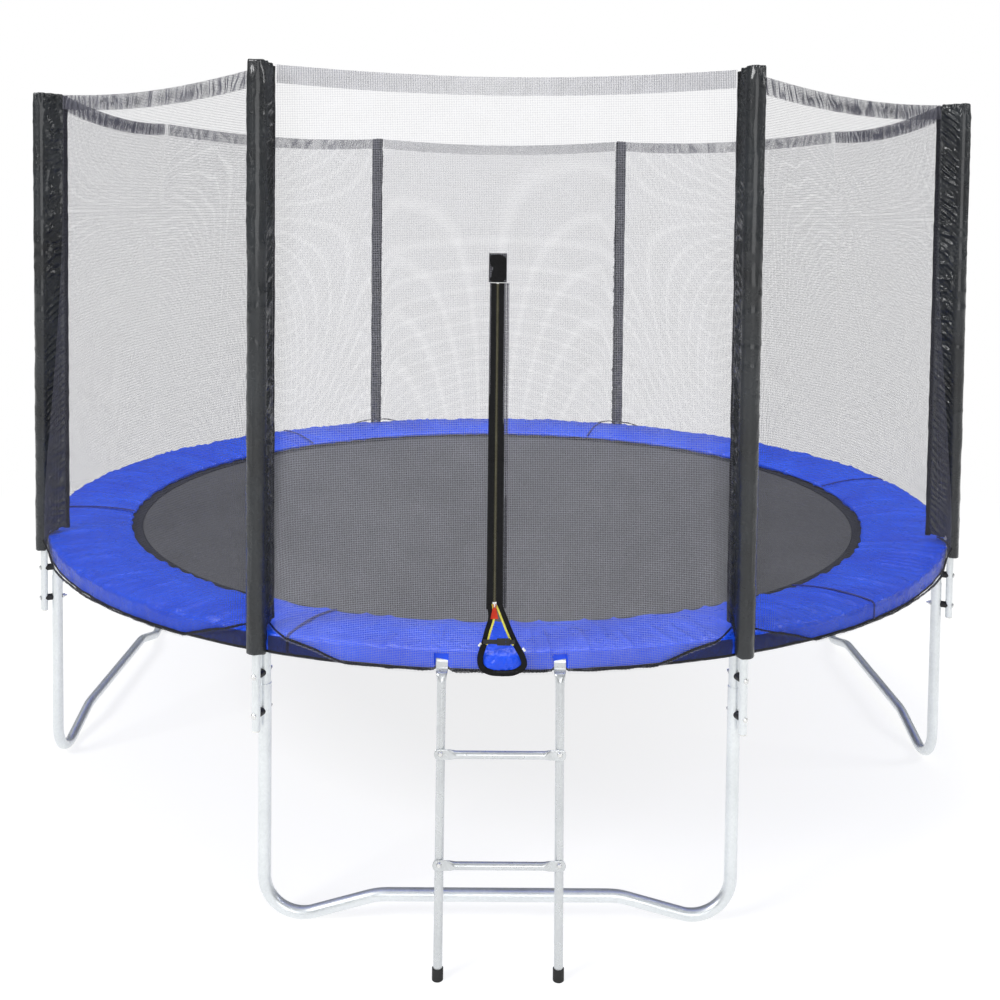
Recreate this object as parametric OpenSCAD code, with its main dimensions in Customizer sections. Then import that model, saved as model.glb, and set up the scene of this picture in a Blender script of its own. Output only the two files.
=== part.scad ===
// Round garden trampoline with a netted enclosure, a zipped door and a hook-on ladder.
// Origin: centre of the ring at floor level. +Z up. The door and the ladder face -Y.

/* [Ring] */
// Radius of the top rail, to the middle of its tube
ring_r = 1810; // [1795:1:1815]
// Height of the middle of the rail tube above the floor
rail_z = 835; // [825:1:840]
// Outer diameter of the rail and leg tubes
leg_d = 38; // [37:0.5:38]
// Wall of the rail and leg tubes
leg_wall = 1.5; // [1.2:0.1:1.5]

/* [Legs] */
// Height of the seam between a leg upright and its base
seam_z = 205; // [190:5:230]
// Height of the top end of a leg upright
upright_top = 714; // [705:1:718]
// Bend radius of the base tubes at the floor
bend_r = 115; // [100:5:125]
// Height of the middle of the raised centre tube
centre_z = 75.5; // [70:0.5:80]
// Rise angle of the base between its bend and its centre tube
rise_angle = 15.5; // [14:0.5:17]

/* [Poles] */
// Distance of a pole outside its leg upright, middle to middle
pole_gap = 46; // [45:0.5:48]
// Outer diameter of a pole
pole_d = 25; // [24:0.5:25.4]
// Height of the lower end of a pole
pole_bottom = 590; // [580:5:600]
// Height of the upper end of a pole
pole_top = 2505; // [2480:5:2520]
// Outer diameter of the foam round a pole
foam_d = 50; // [46:1:50]

/* [Mat and pad] */
// Radius of the jumping mat
mat_r = 1570; // [1560:1:1570]
// Number of coil springs
spring_count = 72; // [60:4:80]
// Inner radius of the spring pad
pad_inner_r = 1530; // [1515:5:1540]
// Outer radius of the spring pad
pad_outer_r = 1841.5; // [1840:0.5:1842]

/* [Net and door] */
// Height of the top hem at the poles
net_top = 2528; // [2500:1:2530]
// Sag of the top hem halfway between two poles
net_sag = 30; // [10:5:50]
// Distance of the zip from the middle, towards +X
zip_x = -20; // [-30:1:0]
// Length of the zip
zip_length = 970; // [900:10:990]

/* [Ladder] */
// Half the distance between the ladder's rails
ladder_half = 166; // [160:1:172]
// Outer diameter of the ladder's rails
ladder_d = 25; // [24:0.5:25]
// How far the ladder's feet stand out from the rail's hinge line
ladder_reach = 136; // [130:1:140]

/* [Hidden] */
$fn = 64;
UPRIGHTS = [for (k = [0:7]) 22.5 + 45 * k];
POLES = [22.5, 67.5, 157.5, 202.5, 292.5, 337.5];
// Azimuths of the pairs of uprights that the four W-shaped legs join
LEGS = [0, 90, 180, 270];
bore_r = leg_d / 2 - leg_wall;
spigot_r = bore_r - 0.2;
pole_r = ring_r + pole_gap;
pole_bore = pole_d / 2 - 1.2;
leg_span = 2 * ring_r * sin(22.5);
leg_r = ring_r * cos(22.5);
tee_bore = leg_d / 2 + 0.2;
tee_r = tee_bore + 1.6;
tee_angle = 2.2;
stub_bottom = 550;
screw_z = 690;
joint_u = 530;
spigot_len = 60;
lap = 1;
bend_step = 0.2;
bolt_zs = [749, 634];
pole_joint_z = 1560;
pole_sleeve = 60;
foam_bottom = 886;
foam_top = pole_top - 12;
bolt_r = 4;
hole_r = 4.3;
pad_top = 877;
pad_under = 861;
pad_drop = 25;
pad_knee_r = 1600;
pad_knee_drop = 13;
skirt_bottom = 820;
skirt_wall = 3;
mat_z = 829;
mat_t = 3;
webbing_w = 80;
webbing_t = 1.6;
spring_z = mat_z + 9;
cover_r = foam_d / 2 + 4;
cover_tip = 78;
cover_top = 2530;
tip_r = pole_r - cover_tip;
net_t = 3;
net_bottom = 815;
net_bottom_r = 1866;
// The net leans in from its bottom hem to its chord-shaped top hem
net_lean = atan((net_bottom_r - tip_r * cos(22.5)) / (net_top - net_sag - net_bottom));
apex_z = 1000;
apex_r = net_bottom_r - (apex_z - net_bottom) * tan(net_lean);
tape_w = 19;
coil_w = 6;
coil_gap = 1.2;
door_half = tape_w + coil_w / 2 + 0.5;
hinge_y = ring_r * cos(asin(ladder_half / ring_r));
hook_r = leg_d / 2 + 2;
hook_t = 3.5;
hook_w = 35;
rung_zs = [599, 305];

// ---------- helpers ----------

// Places children on a circle: azimuth 0 faces -Y, local -Y points outwards
module at_azimuth(azimuth, radius = 0) rotate([0, 0, azimuth]) translate([0, -radius, 0]) children();

module each_azimuth(list, radius = 0) for (a = list) at_azimuth(a, radius) children();

// Extrudes a profile drawn as (outwards, up) across the X direction
module side_profile(width) rotate([90, 0, -90]) linear_extrude(width, center = true) children();

module tube(outer, inner, height) difference() {
    cylinder(r = outer, h = height);
    translate([0, 0, -1]) cylinder(r = inner, h = height + 2);
}

// Arc of a torus about +Z, from one azimuth to another
module ring_arc(radius, r, from, to) rotate([0, 0, from - 90])
    rotate_extrude(angle = to - from, $fn = 240) translate([radius, 0]) circle(r, $fn = 40);

// Radial cylinder through local Y, from one radius inwards of the local origin to another outwards
module radial_rod(r, inwards, outwards) translate([0, inwards, 0]) rotate([90, 0, 0])
    cylinder(r = r, h = inwards + outwards);

function smooth(t) = let (c = max(0, min(1, t))) c * c * (3 - 2 * c);
function polar(radius, azimuth) = [radius * sin(azimuth), -radius * cos(azimuth)];

// ---------- ring and legs ----------

module rail(k) color("silver") translate([0, 0, rail_z]) difference() {
    ring_arc(ring_r, leg_d / 2, 45 * k - 22.47, 45 * k + 22.47);
    ring_arc(ring_r, bore_r, 45 * k - 23, 45 * k + 23);
}

module tee_joints() color("gainsboro") for (a = UPRIGHTS) difference() {
    union() {
        translate([0, 0, rail_z]) ring_arc(ring_r, tee_r, a - tee_angle, a + tee_angle);
        at_azimuth(a, ring_r) translate([0, 0, stub_bottom])
            cylinder(r = spigot_r, h = rail_z - stub_bottom - 10);
    }
    translate([0, 0, rail_z]) ring_arc(ring_r, tee_bore, a - 3, a + 3);
    at_azimuth(a, ring_r) translate([0, 0, stub_bottom - 1])
        cylinder(r = spigot_r - leg_wall, h = rail_z - stub_bottom - tee_r);
    at_azimuth(a, ring_r) for (z = bolt_zs) translate([0, 0, z]) radial_rod(hole_r, 30, 30);
}

module leg_uprights() color("silver") each_azimuth(UPRIGHTS, ring_r) difference() {
    translate([0, 0, seam_z]) tube(leg_d / 2, bore_r, upright_top - seam_z);
    translate([0, 0, bolt_zs[1]]) radial_rod(hole_r, 30, 30);
}

// Shape of one half of a W-shaped base, in the leg's plane: u along the leg, z up
low_z = leg_d / 2 - bend_step;
bend_end = [bend_r * (1 + sin(rise_angle)), low_z + bend_r * (1 - cos(rise_angle))];
upper_bend = 200;
rise_end_z = centre_z - upper_bend * (1 - cos(rise_angle));
rise_len = (rise_end_z - bend_end[1]) / sin(rise_angle);
rise_end_u = bend_end[0] + rise_len * cos(rise_angle);
flat_u = rise_end_u + upper_bend * sin(rise_angle);

// Rod along the base's route, in the XZ plane, starting near the upright's seam. The tube draws in
// by bend_step where it is bent, and its straight stretches run a little into the bends.
module base_route(r, r_straight, at_seam = 0, extra = 0) {
    translate([0, 0, low_z + bend_r - lap])
        cylinder(r = r_straight, h = seam_z - low_z - bend_r + at_seam + lap);
    translate([bend_r, 0, low_z + bend_r]) rotate([90, 0, 0]) rotate([0, 0, 180])
        rotate_extrude(angle = 90 + rise_angle) translate([bend_r, 0]) circle(r);
    translate([bend_end[0], 0, bend_end[1]]) rotate([0, 90 - rise_angle, 0]) translate([0, 0, -lap])
        cylinder(r = r_straight, h = rise_len + 2 * lap);
    translate([flat_u, 0, centre_z - upper_bend]) rotate([90, 0, 0]) rotate([0, 0, 90])
        rotate_extrude(angle = rise_angle) translate([upper_bend, 0]) circle(r);
    translate([flat_u - lap, 0, centre_z]) rotate([0, 90, 0])
        cylinder(r = r_straight, h = joint_u - flat_u + extra + lap);
}

module leg_bend() difference() {
    union() {
        base_route(leg_d / 2 - bend_step, leg_d / 2);
        translate([0, 0, seam_z]) cylinder(r = spigot_r, h = spigot_len);
    }
    base_route(bore_r, bore_r - bend_step, -10, 1);
    translate([0, 0, seam_z - 11]) cylinder(r = spigot_r - leg_wall, h = spigot_len + 12);
}

module leg_bends(azimuth) color("silver") at_azimuth(azimuth, leg_r) for (side = [0, 1])
    mirror([side, 0, 0]) translate([-leg_span / 2, 0, 0]) leg_bend();

module leg_centre_tubes() color("gainsboro") each_azimuth(LEGS, leg_r) translate([0, 0, centre_z])
    rotate([0, 90, 0]) {
        half = leg_span / 2 - joint_u;
        difference() {
            union() {
                translate([0, 0, -half]) cylinder(r = leg_d / 2, h = 2 * half);
                translate([0, 0, -half - spigot_len]) cylinder(r = spigot_r, h = 2 * (half + spigot_len));
            }
            translate([0, 0, -half - spigot_len - 1])
                cylinder(r = spigot_r - leg_wall, h = 2 * (half + spigot_len + 1));
        }
    }

module frame_screws() color("silver") each_azimuth(UPRIGHTS, ring_r) translate([0, 0, screw_z]) {
    translate([0, leg_d / 2 + 2.8, 0]) radial_rod(5, 0, 2.5);
    translate([0, leg_d / 2 + 3, 0]) rotate([90, 0, 0]) cylinder(r = 6, h = 2.7, $fn = 6);
}

// ---------- poles ----------

module pole_holes() for (z = bolt_zs) translate([0, 0, z]) radial_rod(hole_r, 30, 30);

module pole_lower_tubes() color("silver") each_azimuth(POLES, pole_r) difference() {
    translate([0, 0, pole_bottom]) tube(pole_d / 2, pole_bore, pole_joint_z - pole_bottom);
    pole_holes();
}

module pole_upper_tubes() color("silver") each_azimuth(POLES, pole_r) difference() {
    union() {
        translate([0, 0, pole_joint_z]) cylinder(r = pole_d / 2, h = pole_top - pole_joint_z);
        translate([0, 0, pole_joint_z - pole_sleeve]) cylinder(r = pole_bore - 0.2, h = pole_sleeve + 1);
    }
    translate([0, 0, pole_joint_z - pole_sleeve - 1])
        cylinder(r = pole_bore - 1.4, h = pole_top - pole_joint_z + pole_sleeve + 2);
}

module pole_end_plugs() color("whitesmoke") each_azimuth(POLES, pole_r) translate([0, 0, pole_bottom]) {
    translate([0, 0, -3]) cylinder(r = pole_d / 2, h = 3);
    translate([0, 0, -6]) cylinder(r1 = pole_d / 2 - 4, r2 = pole_d / 2, h = 3);
    cylinder(r = pole_bore - 0.1, h = 18);
}

module pole_spacers() color([0.05, 0.05, 0.05]) each_azimuth(POLES, ring_r) for (k = [0, 1])
    translate([0, 0, bolt_zs[k]]) difference() {
        radial_rod(12, 0, pole_gap);
        radial_rod(hole_r, 1, pole_gap + 1);
        translate([0, 0, -20]) cylinder(r = (k == 0 ? spigot_r : leg_d / 2) + 0.1, h = 40);
        translate([0, -pole_gap, -20]) cylinder(r = pole_d / 2 + 0.1, h = 40);
    }

module pole_bolts() color("gainsboro") each_azimuth(POLES, ring_r) for (z = bolt_zs) translate([0, 0, z]) {
    radial_rod(bolt_r, 34, pole_gap + pole_d / 2 + 0.5);
    translate([0, -pole_gap - pole_d / 2 - 0.3, 0]) rotate([90, 0, 0]) {
        cylinder(r = 8.5, h = 2);
        translate([0, 0, 2]) cylinder(r1 = 8.5, r2 = 4.5, h = 2.6);
    }
}

module pole_nuts() color("gainsboro") each_azimuth(POLES, ring_r) for (z = bolt_zs) translate([0, 27, z])
    rotate([90, 0, 0]) difference() {
        union() {
            cylinder(r = 7.5, h = 6.4, $fn = 6);
            translate([0, 0, 6.4]) cylinder(r = 9, h = 1.4);
        }
        translate([0, 0, -1]) cylinder(r = bolt_r + 0.1, h = 10);
    }

module pole_foam() color([0.12, 0.12, 0.12]) each_azimuth(POLES, pole_r) translate([0, 0, foam_bottom])
    tube(foam_d / 2, pole_d / 2 + 0.2, foam_top - foam_bottom);

module pole_caps() color([0.1, 0.1, 0.1]) each_azimuth(POLES, pole_r) translate([0, 0, pole_top]) {
    cylinder(r = pole_d / 2 + 2, h = 4);
    translate([0, 0, 4]) cylinder(r1 = pole_d / 2 + 2, r2 = pole_d / 2 - 4, h = 6);
    translate([0, 0, -20]) cylinder(r = pole_bore - 1.6, h = 21);
}

// Teardrop sleeve: round over the foam, running inwards to a seam that holds the net
module pole_cover(k) color([0.06, 0.06, 0.07]) at_azimuth(POLES[k - 1], pole_r) difference() {
    translate([0, 0, skirt_bottom]) linear_extrude(cover_top - skirt_bottom) hull() {
        circle(cover_r, $fn = 40);
        translate([0, cover_tip - 4]) circle(4, $fn = 20);
    }
    translate([0, 0, skirt_bottom - 1]) cylinder(r = foam_d / 2 + 0.4, h = cover_top - skirt_bottom + 2);
    translate([-60, pole_r - pad_outer_r - 2, skirt_bottom - 1]) cube([120, 120, 66]);
}

// ---------- mat, springs and pad ----------

module mat() color([0.13, 0.13, 0.14]) translate([0, 0, mat_z]) cylinder(r = mat_r, h = mat_t, $fn = 96);

module mat_webbing() color([0.05, 0.05, 0.05]) translate([0, 0, mat_z - webbing_t])
    tube(mat_r, mat_r - webbing_w, webbing_t);

module v_rings() color("silver") for (k = [0:spring_count - 1]) rotate([0, 0, (k + 0.5) * 360 / spring_count])
    translate([0, 0, mat_z + 1]) linear_extrude(4) translate([mat_r + 1, 0]) difference() {
        polygon([[0, -21], [31, -3], [31, 3], [0, 21]]);
        polygon([[4, -14], [26, -2], [26, 2], [4, 14]]);
    }

module springs() color("silver") for (k = [0:spring_count - 1]) rotate([0, 0, (k + 0.5) * 360 / spring_count])
    translate([0, 0, spring_z]) rotate([0, 90, 0]) {
        translate([0, 0, mat_r + 42]) cylinder(r = 7, h = 158);
        translate([0, 0, mat_r + 24]) cylinder(r = 1.7, h = ring_r - leg_d / 2 - mat_r - 24.6);
    }

module spring_pad() color([0.05, 0.15, 0.75]) difference() {
    rotate_extrude($fn = 96) polygon([
        [pad_inner_r, pad_under - pad_drop], [pad_knee_r, pad_under - pad_knee_drop], [ring_r - 30, pad_under],
        [pad_outer_r - skirt_wall, pad_under], [pad_outer_r - skirt_wall, skirt_bottom],
        [pad_outer_r, skirt_bottom], [pad_outer_r, pad_top - 4], [pad_outer_r - 4, pad_top],
        [pad_knee_r, pad_top - pad_knee_drop], [pad_inner_r, pad_top - pad_drop]]);
    for (side = [-1, 1]) translate([side * ladder_half - 20, -pad_outer_r - 2, skirt_bottom - 1])
        cube([40, 40, pad_under - skirt_bottom + 1]);
}

// ---------- net ----------

// Height and radius of the net's bottom hem at an angle d from the nearest pole
function hem_r(d) = tip_r + 6 + (net_bottom_r - tip_r - 6) * smooth(d / 4);
function hem_z(d) = net_bottom + 78 * (1 - smooth((d - 3) / 4));
// Point on the top hem's chord between two azimuths, at the azimuth a between them
function chord_r(a, from, to) = (tip_r + 6) * cos((to - from) / 2) / cos(a - (from + to) / 2);
function top_sag(a, from, to) = let (t = (a - from) / (to - from)) net_top - net_sag * 4 * t * (1 - t);
function bottom_point(a, bare_from, bare_to, from, to) =
    let (d = min(bare_from ? 99 : a - from, bare_to ? 99 : to - a))
    concat(polar(hem_r(d), a), hem_z(d));
function top_point(a, from, to) = concat(polar(chord_r(a, from, to), a), top_sag(a, from, to));

// One panel of net between two azimuths. A bare end has no pole at it.
module net_panel(from, to, bare_from = false, bare_to = false, start = 0.35, end = 0.35, steps = 14) {
    azimuths = [for (k = [0:steps]) from + start + (to - end - from - start) * k / steps];
    outer = [for (a = azimuths) each [bottom_point(a, bare_from, bare_to, from, to), top_point(a, from, to)]];
    inner = [for (p = outer) let (s = 1 - net_t / norm([p[0], p[1]])) [p[0] * s, p[1] * s, p[2]]];
    n = len(outer);
    sides = [for (k = [0:steps - 1]) let (b = 2 * k, c = n + 2 * k) each [
        [b, b + 1, b + 2], [b + 1, b + 3, b + 2],
        [c, c + 2, c + 1], [c + 1, c + 2, c + 3],
        [b, b + 2, c], [c, b + 2, c + 2],
        [b + 1, c + 1, b + 3], [c + 1, c + 3, b + 3]]];
    ends = [[0, n, 1], [1, n, n + 1], [n - 2, n - 1, 2 * n - 2], [n - 1, 2 * n - 1, 2 * n - 2]];
    color([0.25, 0.25, 0.26, 0.4]) polyhedron(points = concat(outer, inner), faces = concat(sides, ends));
}

// Cuts the ladder's two hooks and their swing out of a front panel
module ladder_gaps() for (side = [-1, 1]) translate([side * ladder_half - 20, -1900, 790]) cube([40, 110, 80]);

module net_front() difference() {
    net_panel(-22.5, 22.5, steps = 20);
    ladder_gaps();
    door_gap();
}

// ---------- door: local X across, local Z up the leaning net, local -Y outwards ----------

module at_door() translate([zip_x, -apex_r, apex_z]) rotate([-net_lean, 0, 0]) children();

// Outline of the open loop at the foot of the door, from the zip's lower end round the pad
LOOP_LEFT = [[-3.5, 0], [-25, -88], [-41, -142], [-31, -168], [22, -180]];
LOOP_RIGHT = [[3.5, 0], [50, -86], [86, -138], [82, -170], [22, -180]];
loop_w = 13;

module door_gap() at_door() rotate([90, 0, 0]) linear_extrude(60, center = true) {
    translate([-door_half, -1]) square([2 * door_half, zip_length + 4]);
    translate([-27, zip_length - 60]) square([54, 87]);
    offset(delta = 8) polygon(concat(LOOP_LEFT, [for (k = [3:-1:0]) LOOP_RIGHT[k]]));
}

// Flat band along a row of points, drawn as rounded strokes
module band(points, width) for (k = [0:len(points) - 2]) hull() {
    translate(points[k]) circle(width / 2, $fn = 16);
    translate(points[k + 1]) circle(width / 2, $fn = 16);
}

module zip_tape(side) color([0.07, 0.07, 0.07]) at_door() rotate([90, 0, 0]) linear_extrude(2, center = true) {
    translate([side > 0 ? coil_w / 2 + 0.3 : -tape_w - coil_w / 2 - 0.3, 0]) square([tape_w, zip_length - 60]);
    difference() {
        band(side > 0 ? LOOP_RIGHT : LOOP_LEFT, loop_w);
        translate([side > 0 ? 22 - 40 : 22, -204]) square([40, 44]);
        translate([-coil_w / 2 - 0.3, -6]) square([coil_w + 0.6, 20]);
        translate([side > 0 ? -60 : 0, -40]) square([60, 60]);
    }
}

module zip_coil() color([0.2, 0.2, 0.16]) at_door() for (side = [0, 1]) mirror([side, 0, 0])
    translate([coil_gap / 2, -1.2, 0]) cube([(coil_w - coil_gap) / 2, 2.4, zip_length - 62]);

module zip_patch() color([0.05, 0.05, 0.05]) at_door() translate([-26, -2, zip_length - 58]) cube([52, 4, 84]);

module zip_keeper() color([0.12, 0.12, 0.12]) at_door() for (side = [0, 1]) mirror([side, 0, 0])
    translate([coil_w / 2 + 4, -2.6, 404]) cube([tape_w - 4, 1.5, 9]);

slider_w = 11;
module zip_slider() color([0.75, 0.75, 0.77]) at_door() translate([0, 0, 1]) difference() {
    union() {
        translate([-slider_w / 2, -4.4, 0]) cube([slider_w, 2.6, 16]);
        translate([-slider_w / 2, 1.8, 0]) cube([slider_w, 2.6, 16]);
        translate([-0.25, -2, 0]) cube([0.5, 4, 16]);
        translate([-2, -9.4, 6]) cube([4, 5.2, 7]);
    }
    translate([0, -7.2, 8.5]) rotate([0, 90, 0]) cylinder(r = 1.5, h = 10, center = true);
}

module zip_pull() color([0.8, 0.1, 0.08]) at_door() translate([0, -7.2, 9.5]) difference() {
    union() {
        rotate([0, 90, 0]) cylinder(r = 1.3, h = 9, center = true);
        for (side = [-1, 1]) translate([side * 3.6 - 1, -1, -9]) cube([2, 2, 9]);
        translate([0, 1, 0]) rotate([90, 0, 0]) linear_extrude(2)
            polygon([[-4.6, -8], [4.6, -8], [11, -38], [-11, -38]]);
    }
    translate([-2.3, -3, -7]) cube([4.6, 6, 5]);
}

buckle_z = -90;
buckle_out = 11;
module buckle_socket() color([0.06, 0.06, 0.06]) at_door() translate([8, -buckle_out, buckle_z]) difference() {
    union() {
        translate([0, -4, -9]) cube([24, 8, 18]);
        translate([-32, -1, -6]) cube([33, 2, 12]);
        translate([-39, -1, -6]) cube([8, buckle_out - 0.5, 12]);
    }
    translate([3, -2.4, -6.4]) cube([22, 4.8, 12.8]);
}

module buckle_tongue() color([0.09, 0.09, 0.09]) at_door() translate([8, -buckle_out, buckle_z]) {
    for (z = [-5.6, 3]) translate([6, -1.8, z]) cube([20, 3.6, 2.6]);
    translate([24.4, -4, -9]) cube([12, 8, 18]);
    translate([36, -1, -6]) cube([14, 2, 12]);
}

// ---------- ladder ----------

// The rail of the ladder runs from its neck to its foot, in (outwards from the hinge line, up)
neck = [36, rail_z - 30];
foot = [ladder_reach, 12];
ladder_tilt = atan((foot[0] - neck[0]) / (neck[1] - foot[1]));
ladder_len = (neck[1] - foot[1]) / cos(ladder_tilt);
function along(z) = neck[0] + (neck[1] - z) * tan(ladder_tilt);

module at_hinge(x) translate([x, -hinge_y, 0]) children();

// Curved band that hooks over the ring's rail, and the flattened tab below it
module hook() {
    translate([0, 0, rail_z]) side_profile(hook_w) difference() {
        circle(hook_r + hook_t);
        circle(hook_r);
        polygon([[0, 0], [60, 0], [60, -60], [-26, -60]]);
    }
    translate([-hook_w / 2, -hook_r - hook_t, rail_z - 12]) cube([hook_w, hook_t, 12]);
}

// Flattened end of the tube: a wedge in side view that also narrows in front view
module neck_wedge() intersection() {
    side_profile(60) polygon([[hook_r, rail_z - 12], [hook_r + hook_t, rail_z - 12],
        [neck[0] + 13, neck[1] - 12], [neck[0] - 11, neck[1] - 15]]);
    rotate([90, 0, 0]) linear_extrude(200, center = true) polygon([[-hook_w / 2, rail_z - 12],
        [hook_w / 2, rail_z - 12], [ladder_d / 2 - 1, neck[1] - 16], [1 - ladder_d / 2, neck[1] - 16]]);
}

module ladder_rail(side) color("silver") at_hinge(side * ladder_half) {
    hook();
    neck_wedge();
    difference() {
        translate([0, -neck[0], neck[1]]) rotate([-ladder_tilt, 0, 0]) translate([0, 0, -ladder_len])
            tube(ladder_d / 2, ladder_d / 2 - 1.2, ladder_len - 12);
        for (z = rung_zs) translate([0, -along(z), z]) rotate([-ladder_tilt, 0, 0]) radial_rod(3.3, 30, 30);
    }
}

// A rung: round tube in front of the rails, with flattened ends bolted to them
module rung(z) color("silver") translate([0, -hinge_y - along(z), z]) rotate([-ladder_tilt, 0, 0])
    translate([0, -ladder_d / 2 - 2.6, 0]) {
        rotate([0, 90, 0]) cylinder(r = 11, h = 2 * (ladder_half - 45), center = true);
        for (side = [0, 1]) mirror([side, 0, 0]) {
            hull() {
                translate([ladder_half - 45.5, 0, 0]) rotate([0, 90, 0]) cylinder(r = 11, h = 0.5, $fn = 32);
                translate([ladder_half - 20, -2, -14]) cube([0.5, 4, 28]);
            }
            difference() {
                translate([ladder_half - 20, -2, -14]) cube([38, 4, 28]);
                translate([ladder_half, 0, 0]) radial_rod(3.3, 10, 10);
            }
        }
    }

module ladder_bolts() color("whitesmoke") for (side = [-1, 1]) for (z = rung_zs)
    translate([side * ladder_half, -hinge_y - along(z), z]) rotate([-ladder_tilt, 0, 0]) {
        radial_rod(3, ladder_d / 2 + 9, ladder_d / 2 + 5);
        translate([0, -ladder_d / 2 - 4.9, 0]) rotate([90, 0, 0]) cylinder(r1 = 7.5, r2 = 5, h = 4.5);
        translate([0, ladder_d / 2 + 6.3, 0]) rotate([90, 0, 0]) cylinder(r = 6, h = 5.8, $fn = 6);
    }

module ladder_feet() color([0.06, 0.06, 0.06]) for (side = [-1, 1]) at_hinge(side * ladder_half)
    difference() {
        translate([0, -along(0), 0]) rotate([-ladder_tilt, 0, 0]) translate([0, 0, -10])
            cylinder(r = ladder_d / 2 + 3, h = 40);
        translate([0, -foot[0], foot[1]]) rotate([-ladder_tilt, 0, 0]) translate([0, 0, -0.2])
            cylinder(r = ladder_d / 2 + 0.1, h = 60);
        translate([-50, -foot[0] - 60, -40]) cube([100, 120, 40]);
    }

// ---------- output ----------

for (k = [1:8]) rail(k - 1);
tee_joints();
leg_uprights();
leg_bends(LEGS[0]);  // leg_bends_front
leg_bends(LEGS[1]);  // leg_bends_right
leg_bends(LEGS[2]);  // leg_bends_rear
leg_bends(LEGS[3]);  // leg_bends_left
leg_centre_tubes();
frame_screws();
pole_lower_tubes();
pole_upper_tubes();
pole_end_plugs();
pole_spacers();
pole_bolts();
pole_nuts();
pole_foam();
pole_caps();
for (k = [1:6]) pole_cover(k);
spring_pad();
springs();
v_rings();
mat();
mat_webbing();
net_front();
net_panel(22.5, 67.5);  // net_right_front
net_panel(67.5, 112.5, bare_to = true, end = 0.02);  // net_right_side
net_panel(112.5, 157.5, bare_from = true, start = 0.02);  // net_right_rear
net_panel(157.5, 202.5);  // net_rear
net_panel(202.5, 247.5, bare_to = true, end = 0.02);  // net_left_rear
net_panel(247.5, 292.5, bare_from = true, start = 0.02);  // net_left_side
net_panel(292.5, 337.5);  // net_left_front
zip_tape(-1);  // zip_tape_left
zip_tape(1);  // zip_tape_right
zip_coil();
zip_patch();
zip_keeper();
zip_slider();
zip_pull();
buckle_socket();
buckle_tongue();
ladder_rail(-1);  // ladder_rail_left
ladder_rail(1);  // ladder_rail_right
rung(rung_zs[0]);  // rung_upper
rung(rung_zs[1]);  // rung_lower
ladder_bolts();
ladder_feet();
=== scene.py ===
"""Looks of a round garden trampoline: padded spring ring, woven mat, netted enclosure, zipped door, ladder.

The CAD frame gives every size. Azimuths are in degrees: 0 faces the ladder (-Y), 90 faces +X.
"""

import itertools
import math

import bpy
import numpy as np
from mathutils import Matrix, Vector


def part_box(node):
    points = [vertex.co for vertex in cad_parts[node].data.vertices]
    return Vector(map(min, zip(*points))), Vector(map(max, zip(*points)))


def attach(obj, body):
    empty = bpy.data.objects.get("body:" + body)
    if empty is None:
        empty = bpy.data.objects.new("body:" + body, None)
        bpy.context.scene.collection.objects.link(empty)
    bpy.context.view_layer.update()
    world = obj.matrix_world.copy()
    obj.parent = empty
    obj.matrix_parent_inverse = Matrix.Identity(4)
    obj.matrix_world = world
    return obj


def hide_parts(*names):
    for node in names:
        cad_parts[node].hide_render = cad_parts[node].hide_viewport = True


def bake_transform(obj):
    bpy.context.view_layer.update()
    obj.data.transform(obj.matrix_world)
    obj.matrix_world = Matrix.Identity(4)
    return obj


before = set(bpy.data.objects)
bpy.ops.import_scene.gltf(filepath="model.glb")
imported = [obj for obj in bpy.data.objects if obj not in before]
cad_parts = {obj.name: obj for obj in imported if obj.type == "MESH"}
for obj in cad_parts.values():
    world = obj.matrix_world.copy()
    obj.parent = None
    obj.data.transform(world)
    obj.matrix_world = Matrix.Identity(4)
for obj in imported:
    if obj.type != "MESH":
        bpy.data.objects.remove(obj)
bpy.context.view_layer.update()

# ---------- sizes in metres, from the frame ----------


def low(node):
    return np.array(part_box(node)[0])


def high(node):
    return np.array(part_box(node)[1])


TUBE_R = (high("rail_1")[2] - low("rail_1")[2]) / 2
RAIL_Z = low("rail_1")[2] + TUBE_R
RING_R = -low("rail_1")[1] - TUBE_R
PAD_OUT = high("spring_pad")[0]
PAD_IN = 1.53
PAD_TOP = high("spring_pad")[2]
PAD_THICK = 0.016
PAD_DROP = 0.025
SKIRT_Z = low("spring_pad")[2]
MAT_R = high("mat")[0]
MAT_Z = high("mat")[2]
SPRING_Z = (low("springs")[2] + high("springs")[2]) / 2
NET_TOP = high("net_front")[2]
NET_LOW = low("net_rear")[2]
NET_R = high("net_rear")[1]
NET_SAG = 0.03
COVER_TOP = high("pole_cover_1")[2]
COVER_LOW = low("pole_cover_1")[2]
COVER_R = 0.029
COVER_TIP = 0.078
POLE_R = RING_R + 0.046
SEAM_R = POLE_R - COVER_TIP
NET_TIE_R = SEAM_R + 0.006
PANEL = 45.0
HALF_PANEL = PANEL / 2
POLES = (22.5, 67.5, 157.5, 202.5, 292.5, 337.5)
NET_SHARE = NET_TOP - NET_SAG - NET_LOW
NET_LEAN = math.atan((NET_R - SEAM_R * math.cos(math.radians(HALF_PANEL))) / NET_SHARE)
APEX_Z = 1.0
APEX_R = NET_R - (APEX_Z - NET_LOW) * math.tan(NET_LEAN)
ZIP_X = (low("zip_coil")[0] + high("zip_coil")[0]) / 2
ZIP_LENGTH = 0.97
LOOP_LEFT = ((-6, 0), (-9, -27), (-19, -63), (-28, -98), (-38, -135), (-34, -163), (-10, -178), (28, -181))
LOOP_RIGHT = ((14, 0), (28, -27), (43, -63), (60, -98), (79, -133), (83, -160), (56, -178), (20, -181))
SPRINGS = 72
LADDER_HALF = 0.166
HINGE_R = math.sqrt(RING_R**2 - LADDER_HALF**2)


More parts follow.
